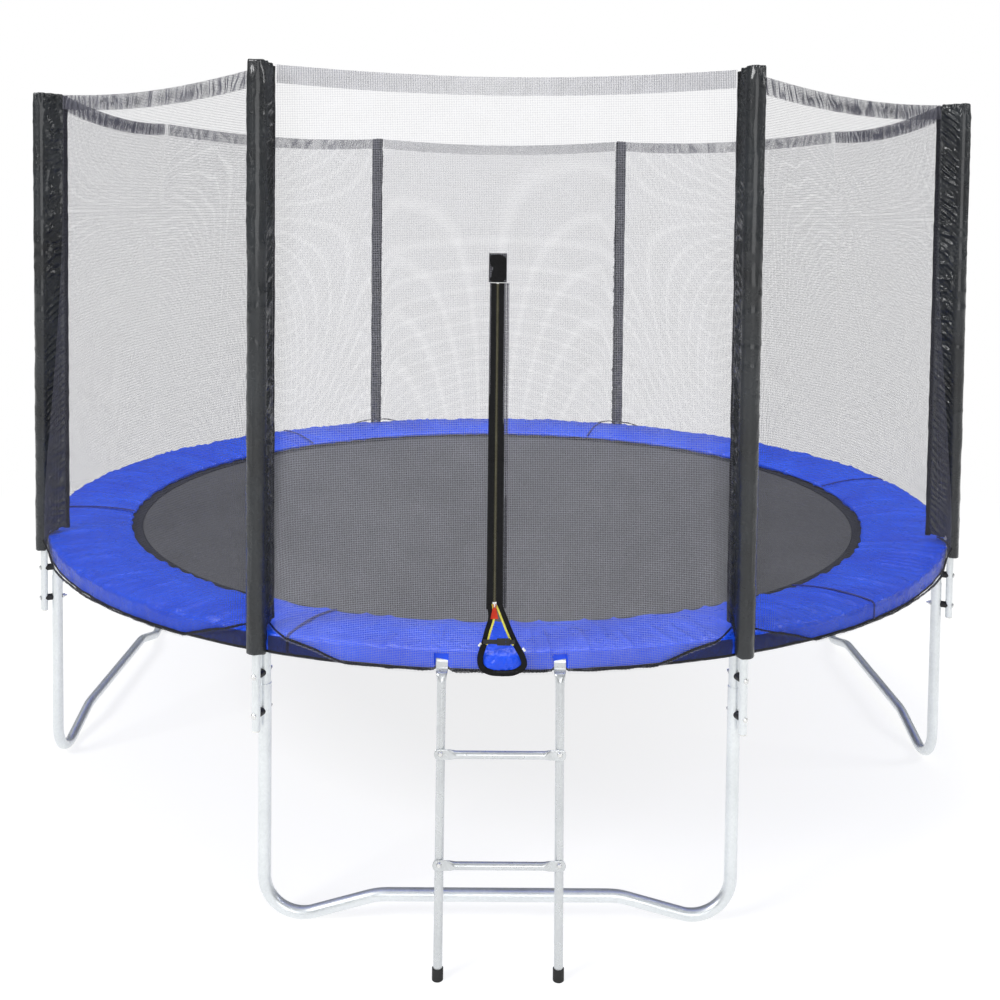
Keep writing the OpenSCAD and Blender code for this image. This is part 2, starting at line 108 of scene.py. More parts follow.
def smooth(t):
    t = np.clip(t, 0, 1)
    return t * t * (3 - 2 * t)


def stack(*values):
    """The values side by side along a new last axis."""
    return np.stack(np.broadcast_arrays(*values), -1)


def polar(radius, azimuth, z):
    a = np.radians(azimuth)
    return stack(radius * np.sin(a), -radius * np.cos(a), z)


def turn_from(azimuth, places):
    """Signed degrees from the nearest of several azimuths."""
    turns = (azimuth - np.reshape(places, (-1, 1, 1)) + 180) % 360 - 180
    return np.take_along_axis(turns, np.abs(turns).argmin(0)[None], 0)[0]


def lengths(line):
    """Distance along a line at each of its points."""
    return np.concatenate([[0], np.cumsum(np.linalg.norm(np.diff(line, axis=0), axis=1))])


# ---------- repeatable noise ----------

NOISE_CELLS = 64
NOISE_TABLES = np.random.default_rng(20240607).random((12, NOISE_CELLS, NOISE_CELLS, NOISE_CELLS)) * 2 - 1


def noise(seed, x, y=0.0, z=0.0):
    """Smooth noise from -1 to 1 with about one bump per unit."""
    p = stack(x, y, z).astype(float)
    cell = np.floor(p).astype(int)
    t = p - cell
    t = t * t * (3 - 2 * t)
    total = np.zeros(p.shape[:-1])
    for corner in itertools.product((0, 1), repeat=3):
        at = (cell + corner) % NOISE_CELLS
        weight = np.prod(np.where(corner, t, 1 - t), -1)
        total += weight * NOISE_TABLES[seed, at[..., 0], at[..., 1], at[..., 2]]
    return total


def creases(seed, x, y=0.0, z=0.0):
    """Noise with narrow raised folds, from 0 to 1."""
    return (1 - np.abs(noise(seed, x, y, z))) ** 3


# ---------- mesh building ----------


def grid_faces(rows, columns, wrap_rows=False, wrap_columns=False):
    i, j = np.meshgrid(
        np.arange(rows if wrap_rows else rows - 1),
        np.arange(columns if wrap_columns else columns - 1),
        indexing="ij",
    )

    def at(r, c):
        return (r % rows) * columns + c % columns

    return stack(at(i, j), at(i, j + 1), at(i + 1, j + 1), at(i + 1, j)).reshape(-1, 4)


def add_mesh(name, points, faces, material, uv=None, period=None):
    """A smooth mesh object. uv is one (u, v) in metres per point, and period is the length of a u that wraps."""
    points = np.asarray(points, np.float32).reshape(-1, 3)
    faces = np.asarray(faces, np.int32)
    mesh = bpy.data.meshes.new(name)
    mesh.vertices.add(len(points))
    mesh.vertices.foreach_set("co", points.ravel())
    mesh.loops.add(faces.size)
    mesh.loops.foreach_set("vertex_index", faces.ravel())
    mesh.polygons.add(len(faces))
    mesh.polygons.foreach_set("loop_start", np.arange(0, faces.size, faces.shape[1], dtype=np.int32))
    mesh.update(calc_edges=True)
    mesh.polygons.foreach_set("use_smooth", np.ones(len(faces), bool))
    if uv is not None:
        corner = np.asarray(uv, float).reshape(-1, 2)[faces]
        if period:
            split = (np.ptp(corner[..., 0], axis=1) > period / 2)[:, None]
            corner[..., 0] += np.where(split & (corner[..., 0] < period / 2), period, 0)
        mesh.uv_layers.new(name="metres").data.foreach_set("uv", corner.astype(np.float32).ravel())
    mesh.materials.append(material)
    piece = bpy.data.objects.new(name, mesh)
    bpy.context.scene.collection.objects.link(piece)
    return piece


def add_grid(name, points, material, uv=None, period=None, wrap_rows=False, wrap_columns=False):
    rows, columns = points.shape[:2]
    return add_mesh(name, points, grid_faces(rows, columns, wrap_rows, wrap_columns), material, uv, period)


def add_parts(name, parts, material):
    """One object from several (points, faces[, uv]) parts."""
    points, faces, uvs, start = [], [], [], 0
    for part in parts:
        p = np.asarray(part[0], float).reshape(-1, 3)
        points.append(p)
        faces.append(np.asarray(part[1]) + start)
        uvs.append(np.asarray(part[2], float).reshape(-1, 2) if len(part) > 2 else np.zeros((len(p), 2)))
        start += len(p)
    return add_mesh(name, np.concatenate(points), np.concatenate(faces), material, np.concatenate(uvs))


def finish_piece(piece, body, slot, *replaced):
    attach(piece, body)
    if replaced:
        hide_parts(*replaced)


def modifier(piece, kind, **settings):
    made = piece.modifiers.new(kind.title(), kind)
    for key, value in settings.items():
        setattr(made, key, value)


def swept(path, across, outwards, shape):
    """Tube of quads along a path. across and outwards are unit vectors, one for all points or one each. shape
    gives (a, b) offsets as an array (1 or points, sides, 2). Both ends are closed with strips of quads."""
    across, outwards = (np.broadcast_to(v, path.shape)[:, None] for v in (across, outwards))
    points = path[:, None] + shape[..., :1] * across + shape[..., 1:] * outwards
    count, sides = points.shape[:2]
    faces = grid_faces(count, sides, wrap_columns=True)
    caps = []
    for row, turn in ((0, -1), (count - 1, 1)):
        ring = row * sides + np.arange(sides)
        for k in range(sides // 2 - 1):
            quad = [ring[k], ring[k + 1], ring[sides - 2 - k], ring[sides - 1 - k]]
            caps.append(quad[::turn])
    return points.reshape(-1, 3), np.concatenate([faces, np.array(caps)])


def directions(path):
    """Unit tangent at each point of a path."""
    step = np.gradient(path, axis=0)
    return step / np.linalg.norm(step, axis=1, keepdims=True)


def rounded(half_width, half_thick, power, sides):
    """Superellipse sections, one per entry: power 2 is an ellipse, 5 is a rounded bar."""
    t = (np.arange(sides) + 0.5) / sides * 2 * math.pi
    c, s = np.cos(t)[None], np.sin(t)[None]
    e = 2 / np.reshape(power, (-1, 1))
    a = np.reshape(half_width, (-1, 1)) * np.sign(c) * np.abs(c) ** e
    b = np.reshape(half_thick, (-1, 1)) * np.sign(s) * np.abs(s) ** e
    return stack(a, b)


def spline(knots, count):
    """Smooth curve through knots, evenly spaced."""
    knots = np.asarray(knots, float)
    p = np.concatenate([[2 * knots[0] - knots[1]], knots, [2 * knots[-1] - knots[-2]]])
    made = []
    for k in range(1, len(p) - 2):
        t = np.linspace(0, 1, 24, endpoint=False)[:, None]
        a, b, c, d = p[k - 1 : k + 3]
        made.append(0.5 * (2 * b + (c - a) * t + (2 * a - 5 * b + 4 * c - d) * t**2 + (3 * b - a - 3 * c + d) * t**3))
    line = np.concatenate(made + [knots[-1:]])
    return even(line, count)


def even(line, count):
    """The same line with evenly spaced points."""
    along = lengths(line)
    want = np.linspace(0, along[-1], count)
    return np.stack([np.interp(want, along, line[:, k]) for k in range(line.shape[1])], -1)


# ---------- materials ----------


class Shader:
    """A Principled material built node by node. A value is a number, a colour or another node's output."""

    def __init__(self, name, **sockets):
        self.material = bpy.data.materials.new(name)
        self.material.use_nodes = True
        self.nodes = self.material.node_tree.nodes
        self.links = self.material.node_tree.links
        self.surface = self.nodes["Principled BSDF"]
        for socket, value in sockets.items():
            self.set(socket, value)

    def feed(self, socket, value):
        if isinstance(value, bpy.types.NodeSocket):
            self.links.new(value, socket)
        elif hasattr(value, "__len__") and len(socket.default_value) == 4 and len(value) == 3:
            socket.default_value = (*value, 1)
        else:
            socket.default_value = value

    def set(self, socket, value):
        self.feed(self.surface.inputs[socket.replace("_", " ")], value)

    def add(self, kind, **inputs):
        node = self.nodes.new("ShaderNode" + kind)
        for key, value in inputs.items():
            self.feed(node.inputs[key.replace("_", " ")], value)
        return node

    def math(self, operation, a, b=0.0):
        node = self.nodes.new("ShaderNodeMath")
        node.operation = operation
        self.feed(node.inputs[0], a)
        self.feed(node.inputs[1], b)
        return node.outputs[0]

    def coordinates(self, which="Object", stretch=(1, 1, 1)):
        start = self.nodes.new("ShaderNodeTexCoord").outputs[which]
        return self.add("Mapping", Vector=start, Scale=stretch).outputs[0]

    def axis(self, which, axis):
        start = self.nodes.new("ShaderNodeTexCoord").outputs[which]
        return self.add("SeparateXYZ", Vector=start).outputs[axis]

    def noise(self, scale, detail=2.0, vector=None):
        vector = vector or self.coordinates()
        return self.add("TexNoise", Vector=vector, Scale=scale, Detail=detail).outputs["Fac"]

    def ramp(self, factor, *stops):
        node = self.nodes.new("ShaderNodeValToRGB")
        self.feed(node.inputs[0], factor)
        while len(node.color_ramp.elements) < len(stops):
            node.color_ramp.elements.new(0.5)
        for element, (position, colour) in zip(node.color_ramp.elements, stops):
            element.position = position
            element.color = (*colour, 1) if hasattr(colour, "__len__") else (colour, colour, colour, 1)
        return node.outputs[0]

    def wave(self, coordinate, pitch):
        return self.math("SINE", self.math("MULTIPLY", coordinate, 2 * math.pi / pitch))

    def weave(self, which, axes, pitch):
        """Height of a plain weave with one thread per half pitch."""
        return self.math("MULTIPLY", *(self.wave(self.axis(which, a), pitch) for a in axes))

    def bump(self, height, strength, distance, over=None):
        node = self.add("Bump", Height=height, Strength=strength, Distance=distance)
        if over is not None:
            self.links.new(over, node.inputs["Normal"])
        return node.outputs[0]


def galvanised(name, dark, light, rough):
    """Zinc-coated tube: pale mottled spangle under a faint haze."""
    s = Shader(name, Metallic=0.72)
    spangle = s.add("TexVoronoi", Vector=s.coordinates(), Scale=140.0).outputs["Color"]
    haze = s.noise(6.0, 3.0)
    mottle = s.math("ADD", s.math("MULTIPLY", spangle, 0.22), s.math("MULTIPLY", haze, 0.78))
    s.set("Base Color", s.ramp(mottle, (0.25, dark), (0.75, light)))
    s.set("Roughness", s.ramp(s.noise(38.0, 4.0), (0.3, rough - 0.06), (0.7, rough + 0.08)))
    s.set("Normal", s.bump(s.noise(60.0, 2.0), 0.05, 0.0004))
    return s.material


def plastic(name, colour, rough, grain=900.0):
    s = Shader(name, Specular_IOR_Level=0.3)
    tint = s.noise(30.0, 2.0)
    s.set("Base Color", s.ramp(tint, (0.3, tuple(c * 0.85 for c in colour)), (0.7, tuple(c * 1.15 for c in colour))))
    s.set("Roughness", s.ramp(s.noise(120.0, 2.0), (0.3, rough - 0.05), (0.7, rough + 0.07)))
    s.set("Normal", s.bump(s.noise(grain, 1.0), 0.15, 0.0003))
    return s.material


def vinyl(name, deep, light, rough, pitch, crinkle, coat=0.22):
    """Glossy coated cloth: the weave shows through the film, with small sharp crinkles."""
    s = Shader(name, Coat_Weight=coat, Coat_Roughness=0.10, Specular_IOR_Level=0.28)
    s.set("Base Color", s.ramp(s.noise(5.0, 4.0), (0.3, deep), (0.7, light)))
    s.set("Roughness", s.ramp(s.noise(22.0, 3.0), (0.35, rough - 0.08), (0.7, rough + 0.1)))
    ridge = s.math("ABSOLUTE", s.math("SUBTRACT", s.noise(crinkle * 0.45, 4.0), 0.5))
    folds = s.bump(s.math("MULTIPLY", s.math("SQRT", ridge), s.noise(5.0, 2.0)), 0.6, 0.012)
    small = s.bump(s.noise(crinkle * 2.0, 2.0), 0.3, 0.0012, folds)
    s.set("Normal", s.bump(s.weave("UV", (0, 1), pitch), 0.35, 0.00035, small))
    return s.material


def woven_mat(name):
    """Tight woven polypropylene with a faint slub across both threads."""
    s = Shader(name, Sheen_Weight=0.08, Sheen_Roughness=0.5, Specular_IOR_Level=0.25)
    slub = s.noise(1.0, 3.0, s.coordinates(stretch=(240, 14, 1)))
    cross = s.noise(1.0, 3.0, s.coordinates(stretch=(14, 240, 1)))
    cloud = s.noise(1.6, 3.0)
    tone = s.math("ADD", s.math("MULTIPLY", s.math("ADD", slub, cross), 0.32), s.math("MULTIPLY", cloud, 0.36))
    s.set("Base Color", s.ramp(tone, (0.3, (0.036, 0.037, 0.042)), (0.7, (0.086, 0.087, 0.096))))
    s.set("Roughness", s.ramp(s.noise(60.0, 2.0), (0.3, 0.48), (0.7, 0.64)))
    s.set("Normal", s.bump(s.weave("Object", (0, 1), 0.0042), 0.6, 0.0006))
    return s.material


def webbing(name, colour, pitch=0.0024):
    """Woven polyester tape with ribs across it."""
    s = Shader(name, Sheen_Weight=0.04, Sheen_Roughness=0.4, Specular_IOR_Level=0.12)
    s.set("Base Color", s.ramp(s.noise(90.0, 3.0), (0.3, tuple(c * 0.7 for c in colour)), (0.75, colour)))
    s.set("Roughness", s.ramp(s.noise(200.0, 2.0), (0.3, 0.6), (0.7, 0.78)))
    s.set("Normal", s.bump(s.weave("UV", (0, 1), pitch), 0.7, 0.0006))
    return s.material


def mesh_net(name, pitch, thread, colour):
    """Open square mesh: only the threads are opaque."""
    s = Shader(name, Roughness=0.55, Specular_IOR_Level=0.2)
    half = math.sin(math.pi * thread / pitch / 2)
    lines = []
    for axis in (0, 1):
        turn = s.math("MULTIPLY", s.axis("UV", axis), math.pi / pitch)
        lines.append(s.math("LESS_THAN", s.math("ABSOLUTE", s.math("SINE", turn)), half))
    s.set("Alpha", s.math("MAXIMUM", *lines))
    s.set("Base Color", s.ramp(s.noise(14.0, 3.0), (0.3, tuple(c * 0.8 for c in colour)), (0.7, colour)))
    return s.material


def foam(name):
    s = Shader(name, Subsurface_Weight=0.1)
    s.set("Base Color", s.ramp(s.noise(60.0, 3.0), (0.3, (0.62, 0.62, 0.60)), (0.7, (0.80, 0.80, 0.78))))
    s.set("Roughness", s.ramp(s.noise(200.0, 2.0), (0.3, 0.7), (0.7, 0.85)))
    s.set("Normal", s.bump(s.add("TexVoronoi", Vector=s.coordinates(), Scale=700.0).outputs["Distance"], 0.3, 0.0006))
    return s.material


GALVANISED = galvanised("galvanised", (0.70, 0.73, 0.74), (0.84, 0.87, 0.88), 0.36)
LADDER_METAL = galvanised("galvanised_ladder", (0.56, 0.58, 0.59), (0.68, 0.70, 0.71), 0.30)
ZINC = galvanised("bright_zinc", (0.66, 0.66, 0.66), (0.82, 0.82, 0.80), 0.24)
WIRE = galvanised("spring_wire", (0.45, 0.47, 0.49), (0.66, 0.68, 0.70), 0.3)
BLACK_PLASTIC = plastic("black_plastic", (0.016, 0.016, 0.017), 0.42)
PALE_PLASTIC = plastic("pale_plastic", (0.78, 0.78, 0.74), 0.4)
RUBBER = plastic("rubber", (0.02, 0.02, 0.02), 0.66, 500.0)
COVER_VINYL = vinyl("cover_vinyl", (0.010, 0.011, 0.012), (0.024, 0.028, 0.032), 0.30, 0.0022, 42.0, 0.5)
PAD_VINYL = vinyl("pad_vinyl", (0.003, 0.060, 0.74), (0.010, 0.095, 0.90), 0.34, 0.0034, 36.0, 0.14)
# The seam welts' darker blue is painted shade: it stands for the shadow line along each seam.
SEAM_SHADE_VINYL = vinyl("pad_seam_vinyl", (0.001, 0.008, 0.16), (0.002, 0.014, 0.26), 0.42, 0.0034, 60.0)
MAT_WEAVE = woven_mat("mat_weave")
WEBBING = webbing("black_webbing", (0.011, 0.011, 0.012))
HEM_WEBBING = webbing("mat_hem", (0.018, 0.020, 0.028), 0.0036)
ZIP_CLOTH = webbing("zip_cloth", (0.085, 0.080, 0.052), 0.0016)
RED_CLOTH = webbing("red_cloth", (0.62, 0.045, 0.02), 0.0016)
YELLOW_CLOTH = webbing("yellow_cloth", (1.0, 0.92, 0.16), 0.0016)
ZIP_TEETH = plastic("zip_teeth", (0.15, 0.14, 0.09), 0.35)
# One net thread in two colours: the darker copy on the side and rear panels is painted shade, and the lighter copy on
# the front panel is painted light from the front.
NET_PAINTED_SHADE = mesh_net("net", 0.005, 0.00064, (0.09, 0.09, 0.12))
NET_PAINTED_LIGHT = mesh_net("net_front", 0.005, 0.0005, (0.46, 0.46, 0.52))
# The top hem likewise: its darker copy is painted shade, and its lighter front copy is painted light.
NET_HEM_PAINTED_SHADE = mesh_net("net_hem", 0.005, 0.0008, (0.14, 0.14, 0.17))
NET_HEM_PAINTED_LIGHT = mesh_net("net_hem_front", 0.005, 0.0008, (0.42, 0.42, 0.46))
NET_ROLL = mesh_net("net_rolled", 0.003, 0.0016, (0.020, 0.020, 0.024))
NET_BUNCH = mesh_net("net_bunched", 0.003, 0.0014, (0.022, 0.022, 0.030))
THREAD = plastic("sewing_thread", (0.05, 0.05, 0.05), 0.6)
FOAM = foam("foam")


# ---------- poles and their covers ----------

PLEAT_PITCH = 0.021
PLEAT_ANGLE = 52
RIM_CENTRE = 0.015
COVER_RIM = ((0.985, 0.003), (0.95, 0.0052), (0.90, 0.0050), (0.86, 0.001), (0.83, -0.006), (0.82, -0.018))
SLEEVE_THICK = 0.001
SIDE_TAPE_FOOT = 0.893
SIDE_TAPE_HALF_THICK = 0.0022


def teardrop(count):
    """Outline of a cover round its pole: (across, inwards), starting and ending at the inner seam."""
    tip_r = 0.004
    centre = COVER_TIP - tip_r
    turn = math.asin((COVER_R - tip_r) / centre)
    tip = np.linspace(math.pi / 2, turn, 6)
    belly = np.linspace(turn, -math.pi / 2, 40)
    half = [stack(tip_r * np.cos(tip), centre + tip_r * np.sin(tip))]
    half.append(stack(COVER_R * np.cos(belly), COVER_R * np.sin(belly)))
    half = np.concatenate(half)
    return even(np.concatenate([half, half[-2::-1] * [-1, 1]]), count + 1)[:-1]


def pole_cover(k):
    """Wrinkled coated sleeve, tight over the foam, with slack flanks that run in to the net's seam."""
    rows, columns = 330, 92
    outline = teardrop(columns)
    across, inwards = outline[:, 0][None], outline[:, 1][None]
    along = directions(np.concatenate([outline[-1:], outline, outline[:1]]))[1:-1]
    normal = stack(-along[:, 1], along[:, 0])
    normal *= np.sign((normal * (outline - [0, 0.02])).sum(1, keepdims=True))
    flank = smooth((inwards - 0.002) / 0.022)
    slack = flank * smooth((COVER_TIP - inwards) / 0.014)
    bottom = COVER_LOW + 0.002 + 0.074 * smooth((inwards - 0.004) / 0.016)
    bottom = bottom + 0.004 * noise(0, across / 0.02, inwards / 0.02, k)
    share = np.linspace(0, 1, rows)[:, None]
    z = bottom + (COVER_TOP - 0.006 - bottom) * share
    side = np.where(across < 0, 5.5, 0.0) + 11.3 * k
    steep = math.radians(PLEAT_ANGLE)
    p, q = z * math.cos(steep) + inwards * math.sin(steep), inwards * math.cos(steep) - z * math.sin(steep)
    wander = 0.01 * noise(6, z / 0.11, inwards / 0.05, side)
    ridge = 1 - np.abs(np.sin(math.pi * (q + 1.4 * wander) / PLEAT_PITCH))
    diagonal = ridge**2 * smooth(0.75 + noise(1, p / 0.07, q / 0.03, side))
    level = creases(2, inwards / 0.05, (z + wander) / 0.026, side)
    fine = creases(3, p / 0.03, q / 0.009, side)
    where = smooth(0.5 + 1.1 * noise(4, z / 0.22, 0.0, side))
    push = slack * (0.0100 * diagonal * (0.35 + 0.65 * where) + 0.0090 * level * (1 - where) + 0.003 * fine - 0.007)
    belly = 0.0014 * noise(5, z / 0.16, across / 0.03, side) + 0.0016 * creases(7, z / 0.05, across / 0.03, side)
    push = push + (1 - flank) * (belly - 0.0012)
    gather = smooth((z - COVER_TOP + 0.05) / 0.045)
    angle = np.arctan2(inwards - RIM_CENTRE, across)
    push = push - gather * 0.0030 * (1 + 0.8 * np.sin(9 * angle + 5 * noise(8, angle, k)))
    foot = smooth((bottom + 0.05 - z) / 0.05)
    push = push + foot * flank * 0.004 * noise(9, z / 0.03, across / 0.012, side)
    x = across + normal[None, :, 0] * push
    y = inwards + normal[None, :, 1] * push
    rim_x, rim_y, rim_z = [], [], []
    for shrink, rise in COVER_RIM:
        rim_x.append(x[-1] * shrink)
        rim_y.append((y[-1] - RIM_CENTRE) * shrink + RIM_CENTRE)
        rim_z.append(z[-1] + rise + 0.0008 * np.sin(5 * angle[0] + k))
    x, y, z = (np.concatenate([a, np.array(b)]) for a, b in ((x, rim_x), (y, rim_y), (z, rim_z)))
    azimuth = math.radians(POLES[k])
    out, side_way = (math.sin(azimuth), -math.cos(azimuth)), (math.cos(azimuth), math.sin(azimuth))
    points = stack(out[0] * (POLE_R - y) + side_way[0] * x, out[1] * (POLE_R - y) + side_way[1] * x, z)
    round_it = np.cumsum(np.linalg.norm(np.diff(outline, axis=0, append=outline[:1]), axis=1))
    uv = stack(round_it[None], z)
    piece = add_grid(f"pole_cover_sleeve_{k + 1}", points, COVER_VINYL, uv, round_it[-1], wrap_columns=True)
    modifier(piece, "SOLIDIFY", thickness=SLEEVE_THICK, offset=-1.0)
    finish_piece(piece, "frame", "cover_vinyl", f"pole_cover_{k + 1}")


def seam_tape(k):
    """Net's side tape, sewn into the cover's inner seam."""
    z = np.linspace(SIDE_TAPE_FOOT, NET_TOP - 0.004, 220)
    wave = 0.0012 * noise(10, z / 0.05, k)
    path = polar(SEAM_R - 0.004, POLES[k] + np.degrees(wave / SEAM_R), z)
    azimuth = math.radians(POLES[k])
    across = [math.cos(azimuth), math.sin(azimuth), 0]
    inward = [-math.sin(azimuth), math.cos(azimuth), 0]
    shape = rounded(SIDE_TAPE_HALF_THICK, 0.009 + 0.001 * noise(11, z / 0.03), 3.5, 12)
    points, faces = swept(path, across, inward, shape)
    uv = stack(points[:, 0] + points[:, 1], points[:, 2])
    piece = add_mesh(f"net_side_tape_{k + 1}", points, faces, WEBBING, uv)
    finish_piece(piece, "frame", "black_webbing")


# ---------- spring pad ----------

PAD_FOLD = 0.012
PAD_WRAP = 1.7
PAD_SEAMS = tuple(-19.6 + 60 * k for k in range(6))
SEAM_FLAP = 0.012
WELT_HALF_WIDTH = 0.0042
WELT_HALF_THICK = 0.0024
DOOR_X = ZIP_X + 0.023
HOOK_DENT = 0.0215


def ring_columns():
    """Azimuths round the pad, closer together at the seams, the ladder's hooks and the door's loop."""
    spaced = np.linspace(-180, 180, 1560, endpoint=False)
    hook = math.degrees(math.asin(LADDER_HALF / PAD_OUT))
    near_hook = np.degrees(np.arange(-0.028, 0.0281, 0.002) / PAD_OUT)
    close = [near_hook - hook, near_hook + hook]
    close.append(np.degrees(np.arange(-0.1, 0.1, 0.004) / PAD_OUT))
    near_seam = np.degrees(np.array([-14, -12, -10, -2, -1, 0, 1, 2]) / 1000 / PAD_WRAP)
    close += [near_seam + a for a in PAD_SEAMS]
    every = np.sort((np.concatenate([spaced, *close]) + 180) % 360 - 180)
    return every[np.diff(every, append=999) > 0.012]


def pad_drop(radius):
    """How far the pad's top lies below its outer rim: it sags on to the mat's edge."""
    t = np.clip((radius - PAD_IN) / (PAD_OUT - PAD_IN), 0, 1)
    return PAD_DROP * (1 - t) ** 2.2


def pad_profile():
    """Closed outline of the pad: radius, height, distance along the outside, and the zone of each point.
    Zones: 0 inner edge, 1 top, 2 fold, 3 skirt outside, 4 skirt inside, 5 underside."""
    r, z, zone = [], [], []
    edge_r = PAD_THICK / 2
    middle = PAD_TOP - PAD_DROP - edge_r
    for a in np.linspace(-90, -250, 8):
        r.append(PAD_IN + edge_r + edge_r * math.cos(math.radians(a)))
        z.append(middle + edge_r * math.sin(math.radians(a)))
        zone.append(0)
    top = np.linspace(PAD_IN + edge_r + 0.006, PAD_OUT - PAD_FOLD - 0.004, 44)
    t = (top - PAD_IN) / (PAD_OUT - PAD_IN)
    r += list(top)
    z += list(PAD_TOP - pad_drop(top) + 0.006 * np.sin(math.pi * np.clip(t, 0, 1)) ** 0.7 - 0.001)
    zone += [1] * len(top)
    for a in np.linspace(84, 0, 9):
        r.append(PAD_OUT - PAD_FOLD + PAD_FOLD * math.cos(math.radians(a)))
        z.append(PAD_TOP - PAD_FOLD + PAD_FOLD * math.sin(math.radians(a)))
        zone.append(2)
    down = np.linspace(PAD_TOP - PAD_FOLD, SKIRT_Z, 11)[1:]
    r += [PAD_OUT] * len(down)
    z += list(down)
    zone += [3] * len(down)
    up = np.linspace(SKIRT_Z, PAD_TOP - PAD_THICK - 0.001, 8)
    r += [PAD_OUT - 0.0022] * len(up)
    z += list(up)
    zone += [4] * len(up)
    under = np.linspace(PAD_OUT - 0.012, PAD_IN + edge_r + 0.01, 12)
    r += list(under)
    z += list(PAD_TOP - pad_drop(under) - PAD_THICK)
    zone += [5] * len(under)
    return np.array(r), np.array(z), np.array(zone)


def ring_noise(make, seed, azimuth, along, round_length, cross_length):
    a = np.radians(azimuth)
    return make(seed, PAD_WRAP * np.sin(a) / round_length, PAD_WRAP * np.cos(a) / round_length, along / cross_length)


def skirt_shift(azimuth, z):
    """How far the skirt and the fold stand out from their plain radius, at azimuths and heights."""
    x = PAD_OUT * np.sin(np.radians(azimuth))
    front = np.cos(np.radians(azimuth)) > 0
    depth = np.clip((PAD_TOP - z) / (PAD_TOP - SKIRT_Z), 0, 1)
    pleats = 0.0022 * ring_noise(noise, 0, azimuth, z, 0.05, 0.12)
    pleats = pleats + 0.0014 * ring_noise(noise, 1, azimuth, z, 0.017, 0.04)
    pole = np.abs(turn_from(azimuth, POLES))
    pleats = pleats * smooth((pole - 1.2) / 1.5) - 0.001
    across = (x - DOOR_X) / 0.06
    bulge = 0.021 * np.exp(-np.abs(across) ** 3.2) * np.sin(math.pi * np.clip(depth * 1.02, 0, 1)) ** 0.55 * front
    folds = creases(5, (x + z) / 0.04, (x - z) / 0.014) + 0.6 * creases(6, (x - 1.3 * z) / 0.03, (x + z) / 0.011)
    bulge = bulge * (0.80 + 0.22 * folds)
    hook = np.abs(np.abs(x) - LADDER_HALF)
    dent = smooth((HOOK_DENT + 0.002 - hook) / 0.004) * smooth((PAD_TOP - 0.0075 - z) / 0.004) * front
    return (pleats * smooth(depth / 0.25) + bulge) * (1 - dent) - 0.0104 * dent


def spring_pad():
    azimuth = ring_columns()[None]
    r0, z0, zone = (v[:, None] for v in pad_profile())
    tangent = directions(np.concatenate([r0, z0], 1))
    nr, nz = -tangent[:, 1:], tangent[:, :1]
    along = lengths(np.concatenate([r0, z0], 1))[:, None]
    shown = (zone <= 2).astype(float)
    inner = smooth((r0 - PAD_IN) / 0.05)
    fold_at = along[(zone == 2)[:, 0]].mean()
    fold = np.exp(-(((along - fold_at + 0.012) / 0.032) ** 2)) * (zone <= 3)
    height = 0.0032 * ring_noise(noise, 2, azimuth, along, 0.26, 0.16)
    height = height + 0.0085 * (ring_noise(creases, 3, azimuth, along, 0.085, 0.34) - 0.4) * (0.5 + 0.5 * (1 - inner))
    height = height + 0.0048 * (ring_noise(creases, 5, azimuth, along, 0.036, 0.22) - 0.4) * smooth((r0 - 1.60) / 0.1)
    height = height + 0.0012 * ring_noise(noise, 4, azimuth, along, 0.11, 0.03)
    pucker = ring_noise(creases, 7, azimuth, along, 0.024, 0.020)
    pucker = pucker + 0.6 * ring_noise(creases, 8, azimuth, along, 0.011, 0.012)
    patchy = smooth(0.6 + 0.9 * ring_noise(noise, 9, azimuth, 0 * along, 0.16, 1.0))
    height = height + fold * patchy * (0.0042 * pucker - 0.0024)
    seam = turn_from(azimuth, PAD_SEAMS) * math.radians(1) * PAD_WRAP
    flap = np.where((seam > -SEAM_FLAP) & (seam < 0), 0.0016, 0.0)
    height = height - 0.004 * np.exp(-((seam / 0.02) ** 2)) + flap
    height = height * shown
    out = skirt_shift(azimuth, z0) * np.where(zone >= 2, 1, 0) * np.where(zone == 5, 0, 1)
    out = out * np.where(zone == 2, smooth((PAD_TOP - z0) / PAD_FOLD), 1)
    r, z = r0 + nr * height + out, z0 + nz * height
    points = polar(r, azimuth, z)
    uv = stack(np.radians(azimuth) * PAD_WRAP, along)
    period = 2 * math.pi * PAD_WRAP
    piece = add_grid("spring_pad_cover", points, PAD_VINYL, uv, period, wrap_rows=True, wrap_columns=True)
    finish_piece(piece, "frame", "pad_vinyl", "spring_pad")


def pad_seams():
    """A folded welt over each radial seam, from the inner edge over the fold to the skirt's binding. Its darker blue
    is painted shade along the seam.
    """
    parts = []
    for k, azimuth in enumerate(PAD_SEAMS):
        r = np.linspace(PAD_IN + 0.004, PAD_OUT - PAD_FOLD, 40)
        z = PAD_TOP - pad_drop(r) + 0.006 * np.sin(math.pi * np.clip((r - PAD_IN) / (PAD_OUT - PAD_IN), 0, 1)) ** 0.7
        bend = np.radians(np.linspace(75, 0, 7))
        bend_r = PAD_FOLD + 0.0005
        down = PAD_TOP - np.linspace(0.018, 0.054, 5)
        r = np.concatenate([r, PAD_OUT - PAD_FOLD + bend_r * np.cos(bend), np.full(5, PAD_OUT)])
        z = np.concatenate([z, PAD_TOP - PAD_FOLD + bend_r * np.sin(bend), down])
        wander = 0.10 * noise(6, r / 0.12, k)
        path = polar(r, azimuth + wander, z + 0.0004)
        a = math.radians(azimuth)
        across = [math.cos(a), math.sin(a), 0]
        outwards = np.cross(across, directions(path))
        outwards *= np.sign(outwards[:, 2:] + 1e-3)
        parts.append(swept(path, across, outwards, rounded(WELT_HALF_WIDTH, WELT_HALF_THICK, 2.6, 10)))
    piece = add_parts("pad_seam_welts", parts, SEAM_SHADE_VINYL)
    finish_piece(piece, "frame", "pad_vinyl")


